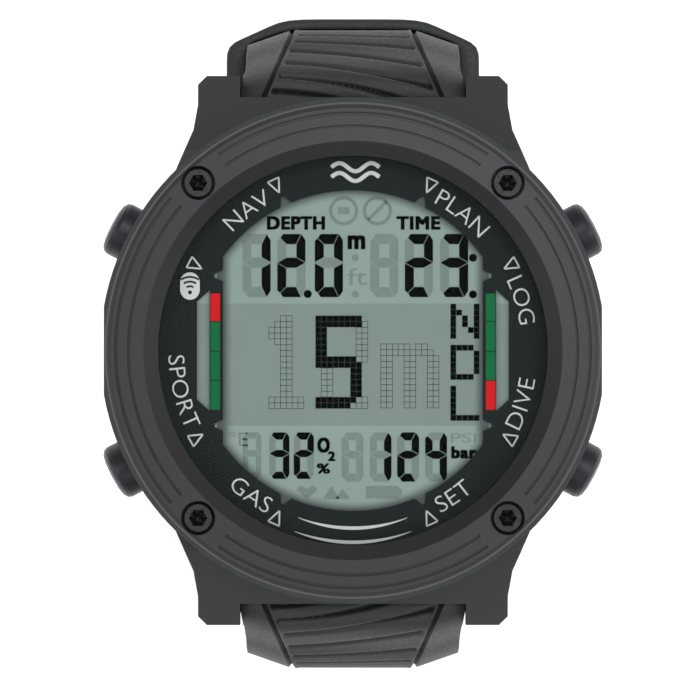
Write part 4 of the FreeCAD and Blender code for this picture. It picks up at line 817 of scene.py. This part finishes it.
def root_lines(thick):
    """The outer and inner lines of the root: rolled round the bar, then into the hanging band."""
    outer_radius = bend_radius + thick / 2
    outer = arc(pin_y, pin_z, root_radius, root_start, root_top, 40)
    start = np.array(outer[-1])
    end = np.array(arc(bend_y, bend_z, outer_radius, bend_start, bend_start, 1)[0])
    leave, meet = math.radians(root_top), math.radians(bend_start)
    first = start + 2.6 * np.array([math.sin(leave), -math.cos(leave)])
    second = end - 3.0 * np.array([math.sin(meet), -math.cos(meet)])
    for t in np.linspace(0, 1, 30)[1:]:
        outer.append(tuple((1 - t) ** 3 * start + 3 * (1 - t) ** 2 * t * first
                           + 3 * (1 - t) * t * t * second + t ** 3 * end))
    outer += arc(bend_y, bend_z, outer_radius, bend_start - 1, 0, 20)
    inner = arc(pin_y, pin_z, root_radius, root_start, root_under, 40)
    inner += arc(bend_y, bend_z, bend_radius - thick / 2, 38, 0, 20)
    return outer, inner


def strap_mesh(thick, lower, end_turn, curl_radius, drop, tail, hand):
    """The rings of one strap half, from its root to the end of its curl or its tip."""
    outer_line, inner_line = root_lines(thick)
    length = float(np.sum(np.hypot(*np.diff(np.array(outer_line), axis=0).T)))
    shares = np.linspace(0, 1, int(length / row_fine) + 1)
    outer = list(map(tuple, resample(outer_line, shares)))
    inner = list(map(tuple, resample(inner_line, shares)))
    past = [0.0] * len(outer)
    side = bend_y + bend_radius
    curl_y, curl_z = side - curl_radius, bend_z - drop
    stops = [*np.arange(row_fine, fine_length, row_fine),
             *np.arange(fine_length, 200.0, row_coarse)]
    curl_length = math.radians(end_turn) * curl_radius
    for s in stops:
        if s < drop:
            outer.append((side + thick / 2, bend_z - s))
            inner.append((side - thick / 2, bend_z - s))
        elif s < drop + curl_length:
            a = (s - drop) / curl_radius
            for line, reach in ((outer, curl_radius + thick / 2), (inner, curl_radius - thick / 2)):
                line.append((curl_y + reach * math.cos(a), curl_z - reach * math.sin(a)))
        elif s < drop + curl_length + tail:
            y = curl_y - (s - drop - curl_length)
            outer.append((y, curl_z - curl_radius - thick / 2))
            inner.append((y, curl_z - curl_radius + thick / 2))
        else:
            break
        past.append(s)
    total = drop + curl_length + tail
    outer, inner, past = np.array(outer), np.array(inner), np.array(past)
    rise = outer - inner
    thickness = np.hypot(rise[:, 0], rise[:, 1])
    before = past == 0
    turn = np.arccos(np.clip((outer[:, 0] - bend_y) / (bend_radius + thick / 2), -1, 1))
    back = np.where(before, (bend_radius + thick / 2) * turn, -past)
    half = 11.5 - 0.6 * smooth(np.where(before, outer[:, 0], 40), 26.5, 32.0)
    crest = np.where(before, 10.2 - 3.9 * np.clip((outer[:, 0] - 23.5) / 9.3, 0, 1), 6.3)
    if tail:
        tip = np.clip((past - (total - tip_length)) / tip_length, 0, 0.999)
        half = half * np.sqrt(1 - tip ** 2.4)
        crest = np.where(tip > 0, np.minimum(crest, half * 0.58), crest)
    across = rise / np.maximum(thickness, 1e-6)[:, None]
    across[0] = across[1]
    along = np.gradient(outer, axis=0)
    along /= np.maximum(np.hypot(along[:, 0], along[:, 1]), 1e-9)[:, None]
    normal = np.stack([-along[:, 1], along[:, 0]], 1)
    normal *= np.sign(np.sum(normal * rise, axis=1) + 1e-12)[:, None]
    normal[0] = normal[1]
    # Each row is a closed ring: over the flank, the panel and the other flank, and back inside.
    points, faces = [], []
    near = np.array([0.0, 0.1, 0.2, 0.3, 0.42, 0.7])
    panel = np.linspace(-1, 1, 111)
    for row in range(len(outer)):
        w, c, t = half[row], crest[row], thickness[row]
        flank = np.minimum(near, 0.9 * (w - c))
        flank = np.concatenate([flank, np.linspace(flank[-1], w - c, 6)[1:]])
        xs = np.concatenate([-(c + flank[::-1]), panel[1:-1] * c, c + flank])
        fall = slope * np.maximum(np.abs(xs) - c, 0)
        shape = -fall
        edge = np.abs(np.abs(xs) - c)
        live = smooth(back[row], -16.0, -13.0) * smooth(t, 0.6, 2.4)
        shape = shape - groove_depth * live * np.maximum(1 - edge / groove_half, 0) ** 0.8
        share = np.clip((hand * xs + 8) / 16, 0, 1.2) ** 1.7
        pitch = 2.0 + 0.8 * share
        place = (back[row] - 3.5 - 1.1 * share) / pitch
        near_groove = np.abs(place - np.round(place)) * pitch
        scale = smooth(c - np.abs(xs), 0.45, 0.8) * smooth(place, -5.2, -4.9) * smooth(t, 0.6, 2.4)
        shape = shape - rib_depth * scale * np.exp(-(near_groove / rib_half) ** 2)
        part = place - np.floor(place)
        shape = shape - rib_step * scale * smooth(part, 0.0, 1.0)
        shape = np.maximum(shape, -0.65 * t)
        low = min(0.35, t * 0.25)
        lid = outer[row] + normal[row] * shape[:, None]
        base = inner[row] + across[row] * low
        points += [(x, *spot) for x, spot in zip(xs, lid)]
        points += [(w + 0.12, *((lid[-1] + base) / 2)), (w, *base)]
        points += [(x, *inner[row]) for x in np.linspace(w - low, -(w - low), 11)]
        points += [(-w, *base), (-w - 0.12, *((lid[0] + base) / 2))]
    size = len(points) // len(outer)
    for row in range(len(outer) - 1):
        for i in range(size):
            j = (i + 1) % size
            a = row * size
            faces.append((a + i, a + j, a + size + j, a + size + i))
    faces.append(tuple(range(size))[::-1])
    faces.append(tuple(range(len(points) - size, len(points))))
    points = np.array(points)
    if lower:
        points[:, :2] *= -1
    return points, faces


def finish_mesh(piece, angle=35):
    """Merges doubles, turns the faces outwards and shades smooth below an angle."""
    tidy = bmesh.new()
    tidy.from_mesh(piece.data)
    bmesh.ops.remove_doubles(tidy, verts=tidy.verts, dist=0.002 * mm)
    bmesh.ops.dissolve_degenerate(tidy, edges=tidy.edges, dist=0.001 * mm)
    bmesh.ops.recalc_face_normals(tidy, faces=tidy.faces)
    for face in tidy.faces:
        face.smooth = True
    for edge in tidy.edges:
        edge.smooth = len(edge.link_faces) == 2 and edge.calc_face_angle(0) < math.radians(angle)
    tidy.to_mesh(piece.data)
    tidy.free()


def cad_end(name, keep_from, middle_y, middle_z):
    """A merged copy of the end of a CAD node's mesh past an angle of its curl."""
    copy = bmesh.new()
    copy.from_mesh(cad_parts[name].data)
    bmesh.ops.remove_doubles(copy, verts=copy.verts, dist=0.001 * mm)
    a = math.radians(keep_from)
    bmesh.ops.bisect_plane(
        copy, geom=copy.verts[:] + copy.edges[:] + copy.faces[:], dist=1e-7,
        plane_co=(0, middle_y * mm, middle_z * mm), plane_no=(0, -math.sin(a), -math.cos(a)),
        clear_inner=True)
    for vert in [v for v in copy.verts if v.co.z > (middle_z - 12) * mm]:
        copy.verts.remove(vert)
    bmesh.ops.holes_fill(copy, edges=[e for e in copy.edges if len(e.link_faces) == 1])
    return copy


upper_curl, curl_y, curl_z = 36.0, -4.7, -5.68
upper_points, upper_faces = strap_mesh(3.8, False, 60.6, upper_curl, 0.0, 0.0, 1)
upper_strap = new_piece("strap_upper_half", upper_points, upper_faces, strap_rubber,
                        "buckle_strap")
neck = cad_end("strap_upper", 60.2, curl_y, curl_z)
joined = bmesh.new()
joined.from_mesh(upper_strap.data)
neck_mesh = bpy.data.meshes.new("neck")
neck.to_mesh(neck_mesh)
joined.from_mesh(neck_mesh)
joined.to_mesh(upper_strap.data)
for used in (neck, joined):
    used.free()
bpy.data.meshes.remove(neck_mesh)
finish_mesh(upper_strap)
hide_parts("strap_upper")

tail_curl_y, tail_curl_z, tail_curl = 12.7, -13.68, 44.0
lower_points, lower_faces = strap_mesh(3.2, True, 90.0, tail_curl, 8.0, 15.4, -1)
lower_strap = new_piece("strap_lower_half", lower_points, lower_faces, strap_rubber,
                        "tail_strap")
hole_radius, hole_pitch, hole_count, last_hole = 1.5, 6.5, 10, 88
hole_turns = [math.radians(last_hole) - i * hole_pitch / tail_curl for i in range(hole_count)]
cutters = bmesh.new()
for turn in hole_turns:
    out = Vector((0, -math.cos(turn), -math.sin(turn)))
    spot = Vector((0, tail_curl_y, tail_curl_z)) + out * tail_curl
    place = Matrix.Translation(spot * mm) @ out.to_track_quat("Z", "Y").to_matrix().to_4x4()
    bmesh.ops.create_cone(cutters, cap_ends=True, segments=40, radius1=hole_radius * mm,
                          radius2=hole_radius * mm, depth=8 * mm, matrix=place)
cutter_mesh = bpy.data.meshes.new("hole_punch")
cutters.to_mesh(cutter_mesh)
cutters.free()
punch = show("hole_punch", cutter_mesh)
finish_mesh(lower_strap)
cut = lower_strap.modifiers.new("holes", "BOOLEAN")
cut.operation = "DIFFERENCE"
cut.solver = "EXACT"
cut.object = punch
bpy.context.view_layer.update()
punched = bpy.data.meshes.new_from_object(
    lower_strap.evaluated_get(bpy.context.evaluated_depsgraph_get()))
lower_strap.modifiers.remove(cut)
lower_strap.data = punched
bpy.data.objects.remove(punch)
bpy.data.meshes.remove(cutter_mesh)
finish_mesh(lower_strap)
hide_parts("strap_lower")


# ---- Strap keepers ----
# Two moulded loops of the same rubber: one slides, one is fixed near the buckle. Each has
# rounded rims and a shallow groove round its middle.
def keeper_mesh(x, z0, z1, side_wall, wall, length, degrees, spot):
    """A loop round the strap, with a rounded section, put at a spot of the curl at an angle."""
    flat_half, fall, round_low = 7.0, 2.8, 0.6
    outer = [(-flat_half, z1), (flat_half, z1), (x, z1 - fall), (x, z0 + round_low),
             (x - round_low, z0), (-x + round_low, z0), (-x, z0 + round_low), (-x, z1 - fall)]
    xi, zi0, zi1 = x - side_wall, z0 + wall, z1 - wall
    inner_flat, inner_fall, inner_round = 6.5, 1.65, 0.3
    inner = [(-inner_flat, zi1), (inner_flat, zi1), (xi, zi1 - inner_fall), (xi, zi0 + inner_round),
             (xi - inner_round, zi0), (-xi + inner_round, zi0), (-xi, zi0 + inner_round),
             (-xi, zi1 - inner_fall)]
    rings_out, rings_in = [], []
    for i in range(8):
        for t in np.linspace(0, 1, 9)[:-1]:
            for ring, line in ((rings_out, outer), (rings_in, inner)):
                a, b = np.array(line[i]), np.array(line[(i + 1) % 8])
                ring.append(a + (b - a) * t)
    for ring in (rings_out, rings_in):
        spots = np.array(ring)
        for _ in range(2):
            spots = 0.5 * spots + 0.25 * (np.roll(spots, 1, 0) + np.roll(spots, -1, 0))
        ring[:] = list(spots)
    h = length / 2
    section = [(-h + 0.1, 0.0), (-h, 0.15), (-h, 0.75), (-h + 0.12, 0.92), (-h + 0.4, 1.0),
               (-0.5, 1.0), (-0.3, 0.9), (0.3, 0.9), (0.5, 1.0), (h - 0.4, 1.0), (h - 0.12, 0.92),
               (h, 0.75), (h, 0.15), (h - 0.1, 0.0)]
    a = math.radians(270 - degrees)
    points, faces = [], []
    for out, inn in zip(rings_out, rings_in):
        for y, share in section:
            px, pz = inn + (out - inn) * share
            points.append((px, spot[0] + y * math.cos(a) - pz * math.sin(a),
                           spot[1] + y * math.sin(a) + pz * math.cos(a)))
    size, count = len(section), len(rings_out)
    for i in range(count):
        for j in range(size):
            k, m = (i + 1) % count, (j + 1) % size
            faces.append((i * size + j, i * size + m, k * size + m, k * size + j))
    return points, faces


keeper_low, keeper_top, keeper_wall, keeper_room, keeper_crease = -6.6, 3.15, 1.1, 11.05, 50
for name, node, body, half_outer, length, degrees in (
        ("strap_keeper_sliding", "keeper_free", "loose_keeper", 13.1, 7.0, 10.0),
        ("strap_keeper_fixed", "keeper_fixed", "buckle_strap", 12.97, 5.0, 50.0)):
    a = math.radians(degrees)
    spot = (curl_y + upper_curl * math.cos(a), curl_z - upper_curl * math.sin(a))
    points, faces = keeper_mesh(half_outer, keeper_low, keeper_top, half_outer - keeper_room,
                                keeper_wall, length, degrees, spot)
    keeper = new_piece(name, points, faces, strap_rubber, body)
    finish_mesh(keeper, keeper_crease)
    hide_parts(node)


# ---- Buckle and tongue ----
# Pressed stainless steel with a dark satin coat like the bezel's; the tongue turns on the
# same bar as the frame.
buckle_coat, buckle_tree, buckle_shader = new_finish("satin_coated_pressed_steel", Metallic=0.6)
add_grain(buckle_tree, buckle_shader, 0.2, "#3c3b3b", "#4a4948", (0.34, 0.46), 0.003)
dress(buckle_coat, "buckle_frame", "buckle_tongue")


# ---- Floor, light and camera ----
# A pale matt board under the instrument, large soft lamps at the sides with the stronger one
# from 12 o'clock, and a long lens straight above.
floor_size = 3.0
floor_low = cad_box[0][2] - 0.3 * mm
floor_mesh = bpy.data.meshes.new("floor")
floor_mesh.from_pydata([(-floor_size, -floor_size, floor_low), (floor_size, -floor_size, floor_low),
                        (floor_size, floor_size, floor_low), (-floor_size, floor_size, floor_low)],
                       [], [(0, 1, 2, 3)])
board = new_finish("matt_white_board", Roughness=0.9, Base_Color=(0.92, 0.92, 0.92, 1), IOR=1.3,
                   Emission_Color=(1, 1, 1, 1), Emission_Strength=0.3)[0]
floor_mesh.materials.append(board)
floor = show("floor", floor_mesh)

sky = bpy.data.worlds.new("soft_room")
sky.use_nodes = True
sky.node_tree.nodes["Background"].inputs["Color"].default_value = (1, 1, 1, 1)
sky.node_tree.nodes["Background"].inputs["Strength"].default_value = 0.6
bpy.context.scene.world = sky
for name, place, size, power in (("lamp_twelve", (0.2, 0.5, 1.5), 0.8, 8.5),
                                 ("lamp_left", (-1.0, -0.2, 1.2), 0.9, 5.0),
                                 ("lamp_right", (1.0, -0.1, 1.2), 0.9, 7.0),
                                 ("lamp_six", (0.0, -0.9, 1.3), 0.9, 4.0)):
    light = bpy.data.lights.new(name, "AREA")
    light.size = size
    light.energy = power
    lamp = bpy.data.objects.new(name, light)
    lamp.location = place
    lamp.rotation_euler = (-Vector(place)).to_track_quat("-Z", "Y").to_euler()
    bpy.context.scene.collection.objects.link(lamp)

lens_data = bpy.data.cameras.new("camera")
lens_data.sensor_width = 36.0
lens_data.lens = 756.0
lens_data.clip_end = 20.0
camera = bpy.data.objects.new("camera", lens_data)
camera.location = (-0.0003, 0.00005, 1.5166)
bpy.context.scene.collection.objects.link(camera)
bpy.context.scene.camera = camera
bpy.context.scene.view_settings.view_transform = "Standard"
